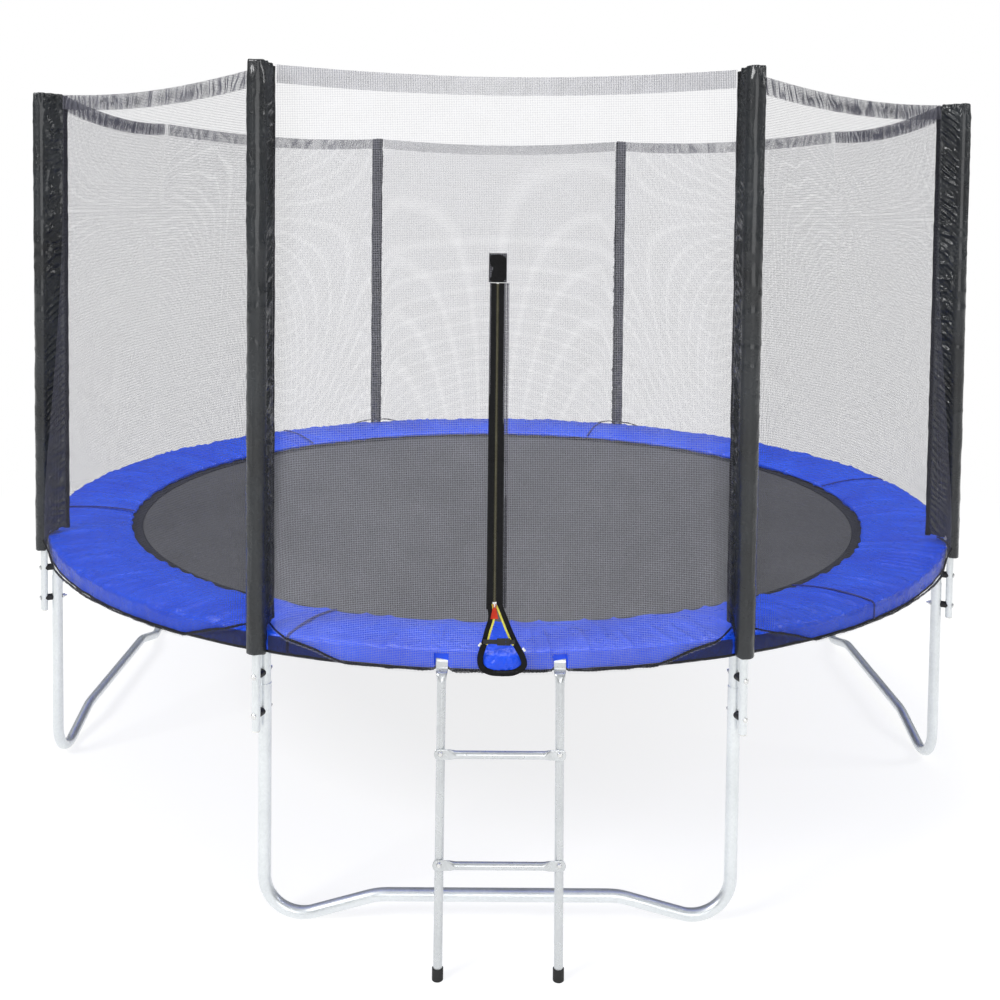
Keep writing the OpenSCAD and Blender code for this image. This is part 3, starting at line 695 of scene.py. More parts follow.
def skirt_binding():
    """Black tape folded round the skirt's lower edge."""
    azimuth = ring_columns()[None]
    outside = ((0.0012, 0.0055), (0.0014, 0.0), (0.0005, -0.0020))
    inside = ((-0.0028, -0.0020), (-0.0036, 0.0), (-0.0034, 0.005))
    section = np.array(outside + inside)
    shift = skirt_shift(azimuth, SKIRT_Z + np.clip(section[:, 1:], 0, 1))
    wobble = 0.0008 * ring_noise(noise, 10, azimuth, 0, 0.03, 1.0)
    points = polar(PAD_OUT + section[:, :1] + shift, azimuth, SKIRT_Z + section[:, 1:] + wobble)
    uv = stack(np.radians(azimuth) * PAD_OUT, section[:, 1:])
    piece = add_grid("skirt_binding", points, WEBBING, uv, 2 * math.pi * PAD_OUT, wrap_rows=True, wrap_columns=True)
    finish_piece(piece, "frame", "black_webbing")


# ---------- mat, springs and rings ----------

BOWL_EDGE = RING_R - TUBE_R


def sink_with_mat(piece):
    """The piece's placement is baked into its mesh."""
    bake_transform(piece)


def jumping_mat():
    count = 150
    u, v = np.meshgrid(np.linspace(-1, 1, count), np.linspace(-1, 1, count))
    x, y = MAT_R * u * np.sqrt(1 - v * v / 2), MAT_R * v * np.sqrt(1 - u * u / 2)
    z = MAT_Z + 0.0007 * noise(0, x / 0.3, y / 0.3) - 0.0006
    piece = add_grid("mat_cloth", stack(x, y, z), MAT_WEAVE, stack(x, y))
    modifier(piece, "SOLIDIFY", thickness=0.002, offset=-1.0)
    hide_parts("mat")
    sink_with_mat(piece)


def mat_hem():
    """Hem webbing with two rows of stitching."""
    azimuth = np.linspace(0, 360, 720, endpoint=False)[None]
    # The dark tape reaches further in than the hem webbing alone: its extra width is painted shade under the pad's
    # inner edge.
    inner = low("mat_webbing")[0] + 2 * MAT_R - 0.08
    across = np.linspace(0, 1, 13)[:, None]
    stitches = 0.0006 * (np.abs(across - 0.15) < 0.05) + 0.0006 * (np.abs(across - 0.85) < 0.05)
    z = MAT_Z + 0.0016 - stitches - 0.0012 * (across == 0)
    z = z + 0.0004 * ring_noise(noise, 1, azimuth, across, 0.02, 1)
    points = polar(inner + (MAT_R - inner) * across, azimuth, z)
    uv = stack(np.radians(azimuth) * MAT_R, across * 0.08)
    piece = add_grid("mat_hem_tape", points, HEM_WEBBING, uv, 2 * math.pi * MAT_R, wrap_columns=True)
    modifier(piece, "SOLIDIFY", thickness=0.0014, offset=-1.0)
    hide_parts("mat_webbing")
    sink_with_mat(piece)


def local_frames(path, up=(0.0, 0.0, 1.0)):
    tangent = directions(path)
    side = np.cross(tangent, up)
    length = np.linalg.norm(side, axis=1, keepdims=True)
    side = np.where(length > 0.05, side / np.maximum(length, 1e-9), np.cross(tangent, (0, 1, 0)))
    side /= np.linalg.norm(side, axis=1, keepdims=True)
    return side, np.cross(side, tangent)


def spring_path():
    """Centre line of one spring along +X: hook over the ring, close turns, hook into the rail."""
    coil_r, wire_start, wire_end, turns = 0.0060, MAT_R + 0.046, BOWL_EDGE - 0.026, 37
    t = np.linspace(0, 1, turns * 9 + 1)
    turn = 2 * math.pi * turns * t
    x = wire_start + (wire_end - wire_start) * t
    coil = stack(x, coil_r * np.sin(turn), SPRING_Z + coil_r * np.cos(turn))
    lip = MAT_R + 0.026
    first = [
        (lip + 0.004, 0, MAT_Z + 0.0035),
        (lip - 0.001, 0, MAT_Z - 0.004),
        (lip - 0.0055, 0, MAT_Z + 0.001),
        (lip - 0.002, 0, SPRING_Z),
        (lip + 0.008, 0, SPRING_Z + 0.001),
        (wire_start - 0.004, 0, SPRING_Z + 0.004),
    ]
    last = [
        (wire_end + 0.005, 0, SPRING_Z + 0.004),
        (wire_end + 0.014, 0, SPRING_Z + 0.001),
        (BOWL_EDGE - 0.002, 0, SPRING_Z),
        (BOWL_EDGE + 0.004, 0, SPRING_Z - 0.001),
    ]
    return np.concatenate([spline(first, 14), coil, spline(last, 10)])


def ring_of(name, path, wire_r, sides, material):
    """The same wire at every spring's place, as one piece."""
    across, outwards = local_frames(path)
    points, faces = swept(path, across, outwards, rounded(wire_r, wire_r, 2, sides))
    parts = []
    for k in range(SPRINGS):
        a = math.radians((k + 0.5) * 360 / SPRINGS)
        turned = points @ np.array([[math.cos(a), math.sin(a), 0], [-math.sin(a), math.cos(a), 0], [0, 0, 1]])
        parts.append((turned, faces))
    return add_parts(name, parts, material)


def springs_and_rings():
    coils = ring_of("coil_springs", spring_path(), 0.0012, 5, WIRE)
    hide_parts("springs")
    sink_with_mat(coils)
    base, tip = MAT_R - 0.006, MAT_R + 0.028
    one_side = [(base, -0.004), (base, -0.017), (base + 0.005, -0.020), (tip - 0.003, -0.003), (tip, 0)]
    other_side = [(tip - 0.003, 0.003), (base + 0.005, 0.020), (base, 0.017), (base, 0.004), (base, -0.003)]
    path = spline([(x, y, MAT_Z + 0.0018) for x, y in one_side + other_side], 60)
    rings = ring_of("v_ring_wires", path, 0.0017, 6, WIRE)
    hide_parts("v_rings")
    sink_with_mat(rings)


# ---------- net ----------

HEM_DEEP = 0.055
TOP_HEM_R = 1.75
GATHER_PITCH = 0.0055
PANEL_CHORD = 1.42
BUNCH_START, BUNCH_END = 1.1, 8.6
NET_PULL = 0.015
PANELS = (
    "net_right_front",
    "net_right_side",
    "net_right_rear",
    "net_rear",
    "net_left_rear",
    "net_left_side",
    "net_left_front",
)


def from_pole(azimuth, start, end, bare_start, bare_end):
    """Degrees to the nearest of the panel's poles."""
    return np.minimum(99.0 if bare_start else azimuth - start, 99.0 if bare_end else end - azimuth)


def hem_height(degrees):
    """Height of the net's lower edge: it lies on the pad at a pole and slides down the skirt away from it."""
    on_pad = 0.0700 - 0.0035 * smooth(degrees / 3) + 0.010 * (1 - smooth(degrees / 1.5))
    return NET_LOW + np.minimum(on_pad, 0.070 * (1 - np.clip((degrees - 1) / 7.6, 0, 1) ** 1.15))


def net_point(azimuth, height, start, end, bare_start=False, bare_end=False, lift=0.0, wrinkled=1.0):
    """Points on a panel between its poles. height runs from 0 at the bottom hem to 1 at the top hem."""
    azimuth, height = np.broadcast_arrays(azimuth, height)
    d = from_pole(azimuth, start, end, bare_start, bare_end)
    hem_r = NET_TIE_R + (NET_R - NET_TIE_R) * np.clip(d / 3.2, 0, 1) ** 0.6
    hem_z = hem_height(d)
    t = (azimuth - start) / (end - start)
    half, middle = math.radians((end - start) / 2), (start + end) / 2
    chord_r = NET_TIE_R * math.cos(half) / np.cos(np.radians(azimuth - middle))
    top_z = NET_TOP - NET_SAG * 4 * t * (1 - t)
    foot = polar(hem_r, azimuth, hem_z) * (1 - height)[..., None]
    point = foot + polar(chord_r, azimuth, top_z) * height[..., None]
    rise = point[..., 2] - hem_z
    along = PANEL_CHORD * t
    slack = smooth(rise / 0.25) * smooth((top_z - point[..., 2]) / 0.2) * smooth(t / 0.02) * smooth((1 - t) / 0.02)
    side = np.minimum(t + (0.3 if bare_start else 0), 1 - t + (0.3 if bare_end else 0))
    fold = creases(1, along / 0.06, rise / 1.1, start / 45) * np.exp(-side / 0.09)
    drawn = noise(2, along / 0.5, rise / 0.7, start / 45) * 0.007 + 0.006 * fold
    drawn = drawn + 0.003 * noise(3, (along + 0.25 * rise) / 0.09, rise / 0.8, start / 45)
    pull = NET_PULL * smooth(1 - rise / 0.1) * smooth(d / 4 - 0.5)
    out = wrinkled * slack * drawn - pull + lift
    a = np.radians(azimuth)
    return point + stack(np.sin(a) * out, -np.cos(a) * out, 0 * out)


def net_uv(points, middle):
    """Flat coordinates of the net, threads upright in the panel's middle."""
    a = math.radians(middle)
    return stack(points[..., 0] * math.cos(a) + points[..., 1] * math.sin(a), points[..., 2])


# By default a top hem takes the darker hem copy, which is painted shade.
def top_hem(name, place, start, end, material=NET_HEM_PAINTED_SHADE):
    """Net folded double over the top cord, in small even gathers."""
    azimuth = np.linspace(start + 0.5, end - 0.5, 1400)[None]
    rows = np.linspace(0, 1, 13)[:, None]
    length = NET_TOP - NET_LOW
    height = 1 - rows * HEM_DEEP / length
    turns = azimuth * math.radians(1) * TOP_HEM_R / GATHER_PITCH
    gather = np.sin(2 * math.pi * turns + 2.5 * noise(4, azimuth / 0.9, rows / 0.8))
    depth = 0.0016 * (0.5 + 0.5 * np.sin(math.pi * rows)) * gather
    points = place(azimuth, height, 0.0045 + depth)
    back = place(azimuth, height, -0.0035 + depth)
    grid = np.concatenate([points[::-1], back])
    uv = net_uv(grid, (start + end) / 2)
    uv[..., 1] = 3 * uv[..., 1] + 0.3 * (np.arange(len(grid)) >= len(points))[:, None]
    piece = add_grid(name, grid, material, uv)
    finish_piece(piece, "frame", "net_mesh")


def bottom_hem(name, azimuth, place, tuck=(0.0, 0.0)):
    """Net gathered and folded double along its bottom edge, loosely rolled. tuck pulls the ends in, in metres."""
    t = np.linspace(0, 1, len(azimuth))
    ends = tuck[0] * smooth(1 - t / 0.06) + tuck[1] * smooth(1 - (1 - t) / 0.06)
    path = place(azimuth, np.zeros(len(azimuth)), 0.001 - ends)
    path[:, 2] += 0.008 + 0.0015 * noise(5, azimuth / 1.1)
    a = np.radians(azimuth)
    outwards = stack(np.sin(a), -np.cos(a), 0 * a)
    up = np.cross(outwards, directions(path))
    up *= np.sign(up[:, 2:])
    thick = 0.0028 + 0.0008 * noise(6, azimuth / 0.5)
    tall = 0.0034 + 0.0010 * noise(7, azimuth / 0.7)
    close = 1 - 0.75 * smooth(1 - t / 0.02) * (tuck[0] > 0) - 0.75 * smooth(1 - (1 - t) / 0.02) * (tuck[1] > 0)
    shape = rounded(tall * close, thick * close, 2.2, 14)
    pleat = 1 + 0.16 * np.sin(2 * math.pi * azimuth / 0.33 + 2 * noise(8, azimuth / 1.5))
    shape = shape * pleat[:, None, None]
    points, faces = swept(path, up, outwards, shape)
    length = np.radians(azimuth - azimuth[0]) * NET_R
    uv = stack(length[:, None], np.arange(14)[None] * 0.0028)
    piece = add_mesh(name, points, faces, NET_ROLL, uv)
    finish_piece(piece, "frame", "net_mesh")


def pole_bunch(name, start, side):
    """Spare net gathered at a pole's foot: it hangs in pleats over the skirt, below the hem, and tapers away."""
    degrees = np.linspace(BUNCH_START, BUNCH_END, 110)[None]
    rows = np.linspace(0, 1, 16)[:, None]
    azimuth = start + side * degrees
    top = np.minimum(hem_height(degrees) + 0.006, PAD_TOP - 0.005)
    low = SKIRT_Z - 0.001
    z = low + (top - low) * rows
    pleats = creases(9, degrees / 0.8 + rows * 0.7, rows / 1.6, start / 7 + side)
    radius = PAD_OUT + 0.0045 + 0.007 * pleats * (1 - degrees / 10) * np.sin(math.pi * np.clip(rows * 0.9, 0, 1))
    uv = stack(np.radians(degrees) * PAD_OUT * 1.5, (top - low) * rows * 1.4)
    piece = add_grid(name, polar(radius, azimuth, z), NET_BUNCH, uv)
    finish_piece(piece, "frame", "net_mesh")


def net_panel(node, start):
    """One closed panel. A side is bare where the net turns a corner with no pole."""
    end = start + PANEL
    bare_start, bare_end = start not in POLES, end not in POLES
    azimuth = np.linspace(start + (0.02 if bare_start else 0.28), end - (0.02 if bare_end else 0.28), 150)[None]
    height = np.linspace(0, 1, 130)[:, None] ** 1.15

    def place(azimuth, height, lift=0.0):
        return net_point(azimuth, height, start, end, bare_start, bare_end, lift)

    points = place(azimuth, height)
    # Side and rear panels take the darker net copy, which is painted shade.
    piece = add_grid(node + "_mesh", points, NET_PAINTED_SHADE, net_uv(points, (start + end) / 2))
    finish_piece(piece, "frame", "net_mesh", node)
    covers = [f"pole_cover_{POLES.index(at) + 1}" for at in (start, end) if at in POLES]
    top_hem(node + "_top_hem", place, start, end)
    first, last = start + (0.0 if bare_start else 0.45), end - (0.0 if bare_end else 0.45)
    bottom_hem(node + "_bottom_hem", np.linspace(first, last, 520), place)
    for k, (bare, at, side) in enumerate(((bare_start, start, 1), (bare_end, end, -1))):
        if not bare:
            pole_bunch(f"{node}_gather_{k + 1}", at, side)


# ---------- door: x across, z up the leaning net, out away from the mat, in metres ----------

LEAN_COS, LEAN_SIN = math.cos(NET_LEAN), math.sin(NET_LEAN)
NET_EDGE = 0.018
TAPE_X = 0.0132
TAPE_HALF_WIDTH = 0.0096
BINDING_HALF_WIDTH = 0.0085
STITCH_ROWS = (0.0055, 0.0205)
STITCH_PITCH = 0.0042
STITCH_LENGTH = 0.0026
STITCH_LIFT = 0.0028
THREAD_R = 0.0004
TOOTH_PITCH = 0.0023
TOOTH_R = 0.0005
KEEPER_Z = 0.4085


def door(x, out, z):
    """Points in space from places on the door."""
    return stack(ZIP_X + x, -APEX_R - out * LEAN_COS + z * LEAN_SIN, APEX_Z + out * LEAN_SIN + z * LEAN_COS)


def door_way(x, out, z):
    """Directions in space from directions on the door."""
    return stack(x, -out * LEAN_COS + z * LEAN_SIN, out * LEAN_SIN + z * LEAN_COS)


ACROSS_DOOR = door_way(1.0, 0.0, 0.0)
OUT_OF_DOOR = door_way(0.0, 1.0, 0.0)


def door_drop(z):
    """How far the net lies inside the door's plane at a height along it."""
    return -NET_PULL * smooth(1 - (APEX_Z + z * LEAN_COS - NET_LOW) / 0.1)


LEFT_EDGE = spline(np.array(LOOP_LEFT) / 1000, 120)
RIGHT_EDGE = spline(np.array(LOOP_RIGHT) / 1000, 120)


def door_edge(z, side):
    """Distance of the net's edge from the zip's line at a height along the door."""
    line = LEFT_EDGE if side < 0 else RIGHT_EDGE
    loop = np.interp(-z, -line[:, 1], line[:, 0])
    straight = side * NET_EDGE * smooth((ZIP_LENGTH + 0.015 - z) / 0.05)
    return np.where(z < 0, loop + side * 0.003 * (z > -0.174), straight)


def front_net(side):
    """Half of the front panel, from a pole to the zip and the loop below it."""
    start, end = -HALF_PANEL, HALF_PANEL
    seam = side * 22.22
    height = np.unique(np.concatenate([np.linspace(0, 0.13, 48), np.linspace(0.13, 1, 110)]))[:, None]
    inner = np.zeros_like(height)
    for _ in range(6):
        probe = net_point(inner, height, start, end, wrinkled=0.0)
        radius = np.hypot(probe[..., 0], probe[..., 1])
        local = (probe[..., 2] - APEX_Z) / LEAN_COS
        inner = np.degrees(np.arcsin((ZIP_X + door_edge(local, side)) / radius))
    share = 1 - (1 - np.linspace(0, 1, 110)[None]) ** 1.2
    azimuth = seam + (inner - seam) * share

    def place(azimuth, height, lift=0.0):
        near = smooth((np.abs(azimuth + 0.6) - 1.0) / 5)
        return net_point(azimuth, height, start, end, lift=lift, wrinkled=near)

    points = place(azimuth, height)
    if side > 0:
        points, azimuth = points[:, ::-1], azimuth[:, ::-1]
    rows, columns = points.shape[:2]
    faces = grid_faces(rows, columns)
    middle = points.reshape(-1, 3)[faces].mean(1)
    at_hook = (np.abs(np.abs(middle[:, 0]) - LADDER_HALF) < 0.021) & (middle[:, 2] < 0.872)
    name = "net_front_left" if side < 0 else "net_front_right"
    # The front panel takes the lighter net copy, which is painted light.
    piece = add_mesh(name, points, faces[~at_hook], NET_PAINTED_LIGHT, net_uv(points, 0))
    finish_piece(piece, "frame", "net_mesh", *(["net_front"] if side < 0 else []))
    hook = math.degrees(math.asin(LADDER_HALF / NET_R))
    gap = 0.72
    bottom_hem(name + "_bottom_hem", side * np.linspace(22.05, hook + gap, 240), place, tuck=(0.0, 0.006))
    pole_bunch(name + "_gather", side * HALF_PANEL, -side)
    return place, hook - gap


def front_hems():
    place, reach = [front_net(side) for side in (-1, 1)][0]
    # The front top hem takes the lighter hem copy, which is painted light.
    top_hem("net_front_top_hem", place, -HALF_PANEL, HALF_PANEL, NET_HEM_PAINTED_LIGHT)
    bottom_hem("net_door_bottom_hem", np.linspace(-reach, reach, 260), place, tuck=(0.006, 0.006))


def door_band(knots, half_width, half_thick, lift, count, offset=0.0, power=4.0):
    """Flat band along a line on the door's plane, as (points, faces, uv)."""
    line = spline(knots, count)
    along = directions(line)
    side = stack(-along[:, 1], along[:, 0])
    line = line + side * offset
    path = door(line[:, 0], lift + door_drop(line[:, 1]), line[:, 1])
    across = door_way(side[:, 0], 0.0, side[:, 1])
    points, faces = swept(path, across, OUT_OF_DOOR, rounded(half_width, half_thick, power, 12))
    length = lengths(line)
    sides = rounded(1.0, 1.0, 2, 12)[0, :, 0] * 0.008
    uv = stack(length[:, None], sides[None])
    return points, faces, uv


def zip_tapes():
    """Tapes beside the teeth, the binding round the open loop, and the yellow edging inside its top."""
    top = ZIP_LENGTH - 0.06
    for name, side, knots in (("left", -1, LOOP_LEFT), ("right", 1, LOOP_RIGHT)):
        z = np.linspace(-0.004, top, 9)
        wave = 0.0004 * noise(0, z / 0.1, side)
        straight = stack(side * TAPE_X + wave, z)
        tape = door_band(straight, TAPE_HALF_WIDTH, 0.0008, 0.0015, 260, power=6.0)
        loop = np.array(knots) / 1000
        start = np.array([[side * 0.0125, 0.01]])
        bind = door_band(np.concatenate([start, loop[1:]]), BINDING_HALF_WIDTH, 0.0018, 0.0022, 150)
        piece = add_parts(f"zip_tape_and_binding_{name}", [tape, bind], WEBBING)
        finish_piece(piece, "frame", "black_webbing", f"zip_tape_{name}")
        stitch_z = np.arange(0.006, top, STITCH_PITCH)
        parts = []
        for x in STITCH_ROWS:
            parts += [stitch(side * x, z0) for z0 in stitch_z]
        finish_piece(add_parts(f"zip_stitching_{name}", parts, THREAD), "frame", "black_webbing")
        edge = door_band(np.concatenate([start, loop[1:4]]), 0.0030, 0.0010, 0.0042, 60, offset=-side * 0.0078)
        finish_piece(add_parts(f"door_edging_{name}", [edge], YELLOW_CLOTH), "frame", "black_webbing")
    strip = stack(0.0282, np.linspace(0.0, top, 9))
    piece = add_parts("net_door_seam", [door_band(strip, 0.0052, 0.0006, 0.001, 260, power=6.0)], NET_BUNCH)
    finish_piece(piece, "frame", "net_mesh")


def stitch(x, z):
    """One stitch on the tape, both ends dipping into the cloth."""
    dip = np.array([-0.0006, 0.0002, 0.0003, 0.0002, -0.0006])
    path = door(x, STITCH_LIFT + dip, z + np.linspace(0, STITCH_LENGTH, 5))
    return swept(path, ACROSS_DOOR, OUT_OF_DOOR, rounded(THREAD_R, THREAD_R, 2, 6))


def zip_chain():
    """Cloth between the tapes and the closed spiral of teeth on it."""
    top = ZIP_LENGTH - 0.062
    turns = int(top / TOOTH_PITCH)
    turn = np.linspace(0, 2 * math.pi * turns, turns * 8 + 1)
    z = np.linspace(0.001, top, len(turn))
    x = 0.0026 * np.sign(np.sin(turn)) * np.abs(np.sin(turn)) ** 0.8
    path = door(x, 0.0019 + 0.0010 * np.cos(turn), z)
    across = np.cross(OUT_OF_DOOR, directions(path))
    across /= np.linalg.norm(across, axis=1, keepdims=True)
    spiral = swept(path, across, OUT_OF_DOOR, rounded(TOOTH_R, TOOTH_R, 2, 4))
    finish_piece(add_parts("zip_teeth_spiral", [spiral], ZIP_TEETH), "frame", "zip_teeth", "zip_coil")
    cloth = stack(0.0, np.linspace(-0.002, top, 9))
    piece = add_parts("zip_cloth", [door_band(cloth, 0.0078, 0.0005, 0.0002, 240, power=6.0)], ZIP_CLOTH)
    finish_piece(piece, "frame", "black_webbing")


def zip_patch():
    """Doubled square patch sewn over the zip's top end, and the small keeper tapes half way up."""
    rows, columns = 44, 30
    u, v = np.linspace(-1, 1, columns)[None], np.linspace(-1, 1, rows)[:, None]
    x, z = 0.026 * u, ZIP_LENGTH - 0.016 + 0.042 * v
    rim = np.maximum(np.abs(u), np.abs(v))
    out = 0.0036 * (1 - smooth((rim - 0.93) / 0.07)) + 0.0008 * noise(1, u * 1.5, v * 2.0)
    out = out - 0.0011 * np.exp(-(((np.abs(u) - 0.84) / 0.04) ** 2))
    out = out - 0.0011 * np.exp(-(((np.abs(v) - 0.9) / 0.03) ** 2))
    front = door(x, 0.0005 + np.maximum(out, 0), z)
    uv = stack(x, z)
    piece = add_grid("zip_top_patch", front, WEBBING, uv)
    modifier(piece, "SOLIDIFY", thickness=0.0015, offset=-1.0)
    finish_piece(piece, "frame", "black_webbing", "zip_patch")
    parts = []
    for side in (-1, 1):
        line = stack(np.linspace(side * 0.0055, side * 0.0225, 4), KEEPER_Z)
        parts.append(door_band(line, 0.0045, 0.0009, 0.0032, 16, power=5.0))
    finish_piece(add_parts("zip_keeper_tape", parts, WEBBING), "frame", "black_webbing", "zip_keeper")


def door_toggles():
    """Two small pale toggles that hold the loop's upper corners."""
    for name, x, z, tilt in (("left", -0.040, -0.099, 0.9), ("right", 0.083, -0.112, -0.9)):
        t = np.linspace(-1, 1, 13)
        line = stack(x + 0.0062 * t * math.cos(tilt), z + 0.0062 * t * math.sin(tilt))
        half = 0.0036 * np.sqrt(np.clip(1 - t**6, 0.03, 1)) * (1 - 0.22 * np.exp(-((t / 0.3) ** 2)))
        path = door(line[:, 0], 0.0062 + door_drop(line[:, 1]), line[:, 1])
        toggle = swept(path, np.cross(OUT_OF_DOOR, directions(path)), OUT_OF_DOOR, rounded(half, half * 0.8, 2.4, 12))
        finish_piece(add_parts(f"door_toggle_{name}", [toggle], PALE_PLASTIC), "frame", "pale_plastic")


# ---------- ladder ----------

LADDER_R = 0.0125
HOOK_MID = 0.02275
FLAT_HALF_WIDTH = 0.0175
FLAT_HALF_THICK = 0.00175
RUNG_R = 0.011
RUNG_FLAT_HALF_THICK = 0.0019
NECK = (0.036, RAIL_Z - 0.030)
FOOT = (0.136, 0.012)
TILT = math.atan((FOOT[0] - NECK[0]) / (NECK[1] - FOOT[1]))


def ladder_rail(name, x):
    """Tube whose upper end is pressed flat and bent over the ring."""
    angle = np.radians(np.linspace(247, 0, 60))
    hook = stack(HOOK_MID * np.cos(angle), RAIL_Z + HOOK_MID * np.sin(angle))
    tab = stack(HOOK_MID, RAIL_Z - np.linspace(0.002, 0.010, 6))
    down = np.array([math.sin(TILT), -math.cos(TILT)])
    neck = spline([(HOOK_MID, RAIL_Z - 0.012), (0.027, RAIL_Z - 0.021), NECK, NECK + 0.03 * down], 40)
    tube = np.array(NECK) + down * np.linspace(0.034, (NECK[1] - FOOT[1]) / math.cos(TILT), 60)[:, None]
    line = np.concatenate([hook, tab, neck, tube])
    length = lengths(line)
    from_neck = length - length[len(hook) + len(tab)]
    half_width = FLAT_HALF_WIDTH + (LADDER_R - FLAT_HALF_WIDTH) * smooth(from_neck / 0.046)
    half_thick = FLAT_HALF_THICK + (LADDER_R - FLAT_HALF_THICK) * smooth(from_neck / 0.040)
    power = 7 - 5 * smooth(from_neck / 0.03)
    end = smooth((length + 0.001) / 0.006)
    path = stack(x, -HINGE_R - line[:, 0], line[:, 1])
    across = [1.0, 0, 0]
    outwards = np.cross(across, directions(path))
    points, faces = swept(path, across, outwards, rounded(half_width * (0.8 + 0.2 * end), half_thick, power, 32))
    uv = stack(length[:, None], np.arange(32)[None] * 0.0024)
    piece = add_mesh(name + "_tube", points, faces, LADDER_METAL, uv)
    finish_piece(piece, "ladder", "ladder_tube", name)


def rung(name):
    """Round tube with pressed ends, in front of the rails."""
    z = (low(name)[2] + high(name)[2]) / 2
    t = np.concatenate([np.linspace(0, 0.118, 12), np.linspace(0.12, 0.148, 16), np.linspace(0.149, 0.184, 14)])
    x = np.concatenate([-t[::-1], t[1:]])
    far = np.abs(x)
    press = smooth((far - 0.1205) / 0.0255)
    tip = np.clip((far - 0.172) / 0.0121, 0, 0.995)
    half_tall = (RUNG_R + 0.003 * press) * np.sqrt(1 - tip**2.6)
    half_thick = RUNG_R + (RUNG_FLAT_HALF_THICK - RUNG_R) * press
    out = NECK[0] + (NECK[1] - z) * math.tan(TILT)
    stand = LADDER_R + 0.0026
    centre = np.array([-HINGE_R - out - stand * math.cos(TILT), z - stand * math.sin(TILT)])
    path = stack(x, *centre)
    up = [0, math.sin(TILT), math.cos(TILT)]
    outwards = [0, -math.cos(TILT), math.sin(TILT)]
    points, faces = swept(path, up, outwards, rounded(half_tall, half_thick, 2 + 3 * press, 32))
    uv = stack(x[:, None], np.arange(32)[None] * 0.0022)
    piece = add_mesh(name + "_tube", points, faces, LADDER_METAL, uv)
    finish_piece(piece, "ladder", "ladder_tube", name)


# ---------- CAD parts that keep their shape ----------

CAD_LOOKS = {
    "rail_": GALVANISED,
    "tee_joints": GALVANISED,
    "leg_": GALVANISED,
    "frame_screws": ZINC,
    "pole_lower_tubes": GALVANISED,
    "pole_upper_tubes": GALVANISED,
    "pole_end_plugs": PALE_PLASTIC,
    "pole_spacers": BLACK_PLASTIC,
    "pole_bolts": ZINC,
    "pole_nuts": ZINC,
    "pole_foam": FOAM,
    "pole_caps": BLACK_PLASTIC,
    "zip_slider": ZINC,
    "zip_pull": RED_CLOTH,
    "buckle_": BLACK_PLASTIC,
    "ladder_bolts": ZINC,
    "ladder_feet": RUBBER,
}
ROUNDED = {
    "zip_slider": 0.0006,
    "zip_pull": 0.0005,
    "buckle_socket": 0.001,
    "buckle_tongue": 0.001,
    "ladder_feet": 0.0012,
}


def dress_cad_parts():
    for node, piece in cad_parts.items():
        for start, material in CAD_LOOKS.items():
            if node.startswith(start):
                piece.data.materials.clear()
                piece.data.materials.append(material)
        if node in ROUNDED:
            modifier(piece, "BEVEL", width=ROUNDED[node], segments=3, limit_method="ANGLE", angle_limit=0.6)


# ---------- floor, light and camera ----------


def aim(thing, target):
    thing.rotation_euler = (Vector(target) - thing.location).to_track_quat("-Z", "Y").to_euler()


def area_light(name, place, target, size, power):
    data = bpy.data.lights.new(name, "AREA")
    data.shape = "RECTANGLE"
    data.size, data.size_y = size
    data.energy = power
    light = bpy.data.objects.new(name, data)
    bpy.context.scene.collection.objects.link(light)
    light.location = place
    aim(light, target)


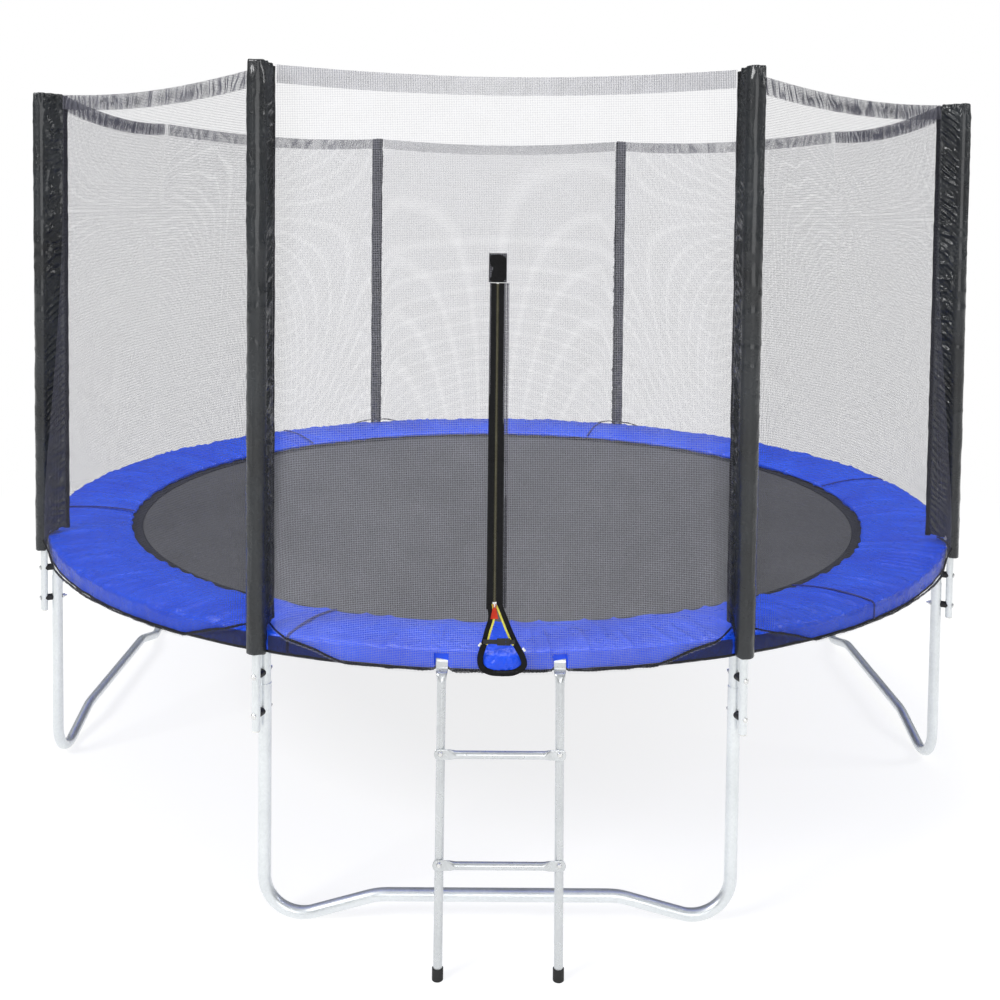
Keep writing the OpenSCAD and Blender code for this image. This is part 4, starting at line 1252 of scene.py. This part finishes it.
def studio():
    s = Shader("floor", Roughness=0.9, Specular_IOR_Level=0.0)
    s.surface.inputs["Emission Color"].default_value = (1, 1, 1, 1)
    distance = s.add("VectorMath", Vector=s.coordinates())
    distance.operation = "LENGTH"
    share = s.math("MULTIPLY", distance.outputs["Value"], 0.1)
    s.set("Base Color", s.ramp(share, (0.15, 0.32), (0.5, 0.0)))
    s.set("Emission_Strength", s.ramp(share, (0.15, 0.80), (0.5, 1.0)))
    u, v = np.meshgrid(np.linspace(-40, 40, 5), np.linspace(-40, 40, 5))
    floor = add_grid("floor", stack(u, v, 0 * u), s.material)
    world = bpy.data.worlds.new("studio")
    bpy.context.scene.world = world
    world.use_nodes = True
    nodes, links = world.node_tree.nodes, world.node_tree.links
    path = nodes.new("ShaderNodeLightPath")
    seen, lit = nodes["Background"], nodes.new("ShaderNodeBackground")
    seen.inputs["Color"].default_value = (1, 1, 1, 1)
    lit.inputs["Color"].default_value = (0.94, 0.97, 1, 1)
    where = nodes.new("ShaderNodeSeparateXYZ")
    links.new(nodes.new("ShaderNodeTexCoord").outputs["Generated"], where.inputs[0])
    rise = nodes.new("ShaderNodeMapRange")
    rise.inputs["From Min"].default_value, rise.inputs["From Max"].default_value = 0.1, 1.0
    rise.inputs["To Min"].default_value, rise.inputs["To Max"].default_value = 0.10, 0.60
    links.new(where.outputs["Z"], rise.inputs["Value"])
    links.new(rise.outputs["Result"], lit.inputs["Strength"])
    mix = nodes.new("ShaderNodeMixShader")
    links.new(path.outputs["Is Camera Ray"], mix.inputs["Fac"])
    links.new(lit.outputs[0], mix.inputs[1])
    links.new(seen.outputs[0], mix.inputs[2])
    links.new(mix.outputs[0], nodes["World Output"].inputs["Surface"])
    area_light("key", (-6.5, -6.0, 6.5), (0, 0, 1.2), (3.0, 2.4), 480)
    area_light("front", (1.5, -9.5, 3.2), (0, 0, 1.2), (6.0, 3.5), 210)
    area_light("right", (8.5, -1.5, 5.5), (0, 0, 1.2), (2.4, 3.0), 200)
    area_light("top", (0, 1.5, 9.0), (0, 0, 0), (5.0, 5.0), 420)
    bpy.context.scene.view_settings.view_transform = "Standard"


LENS = 41.34
SHIFT = (-0.0005, -0.235)
CAMERA_PLACE = (-0.0387, -5.0053, 2.0971)
YAW, PITCH, ROLL = -0.0079, 0.04355, 0.01097


def camera():
    """The eye level sits high, so the lens is shifted down to keep the poles upright in the picture."""
    data = bpy.data.cameras.new("camera")
    data.sensor_width = 36
    data.lens = LENS
    data.shift_x, data.shift_y = SHIFT
    side = Vector((math.cos(YAW), math.sin(YAW), 0))
    ahead = Vector((-math.sin(YAW), math.cos(YAW), 0))
    z = Vector((0, 0, 1))
    forward = ahead * math.cos(PITCH) - z * math.sin(PITCH)
    upright = ahead * math.sin(PITCH) + z * math.cos(PITCH)
    right = side * math.cos(ROLL) + upright * math.sin(ROLL)
    up = upright * math.cos(ROLL) - side * math.sin(ROLL)
    placed = Matrix((right, up, -forward)).transposed().to_4x4()
    placed.translation = CAMERA_PLACE
    view = bpy.data.objects.new("camera", data)
    bpy.context.scene.collection.objects.link(view)
    view.matrix_world = placed
    bpy.context.scene.camera = view


# ---------- everything ----------

camera()
studio()
dress_cad_parts()
for k in range(6):
    pole_cover(k)
    seam_tape(k)
spring_pad()
pad_seams()
skirt_binding()
jumping_mat()
mat_hem()
springs_and_rings()
for k, node in enumerate(PANELS):
    net_panel(node, HALF_PANEL + PANEL * k)
front_hems()
zip_tapes()
zip_chain()
zip_patch()
door_toggles()
ladder_rail("ladder_rail_left", -LADDER_HALF)
ladder_rail("ladder_rail_right", LADDER_HALF)
rung("rung_upper")
rung("rung_lower")
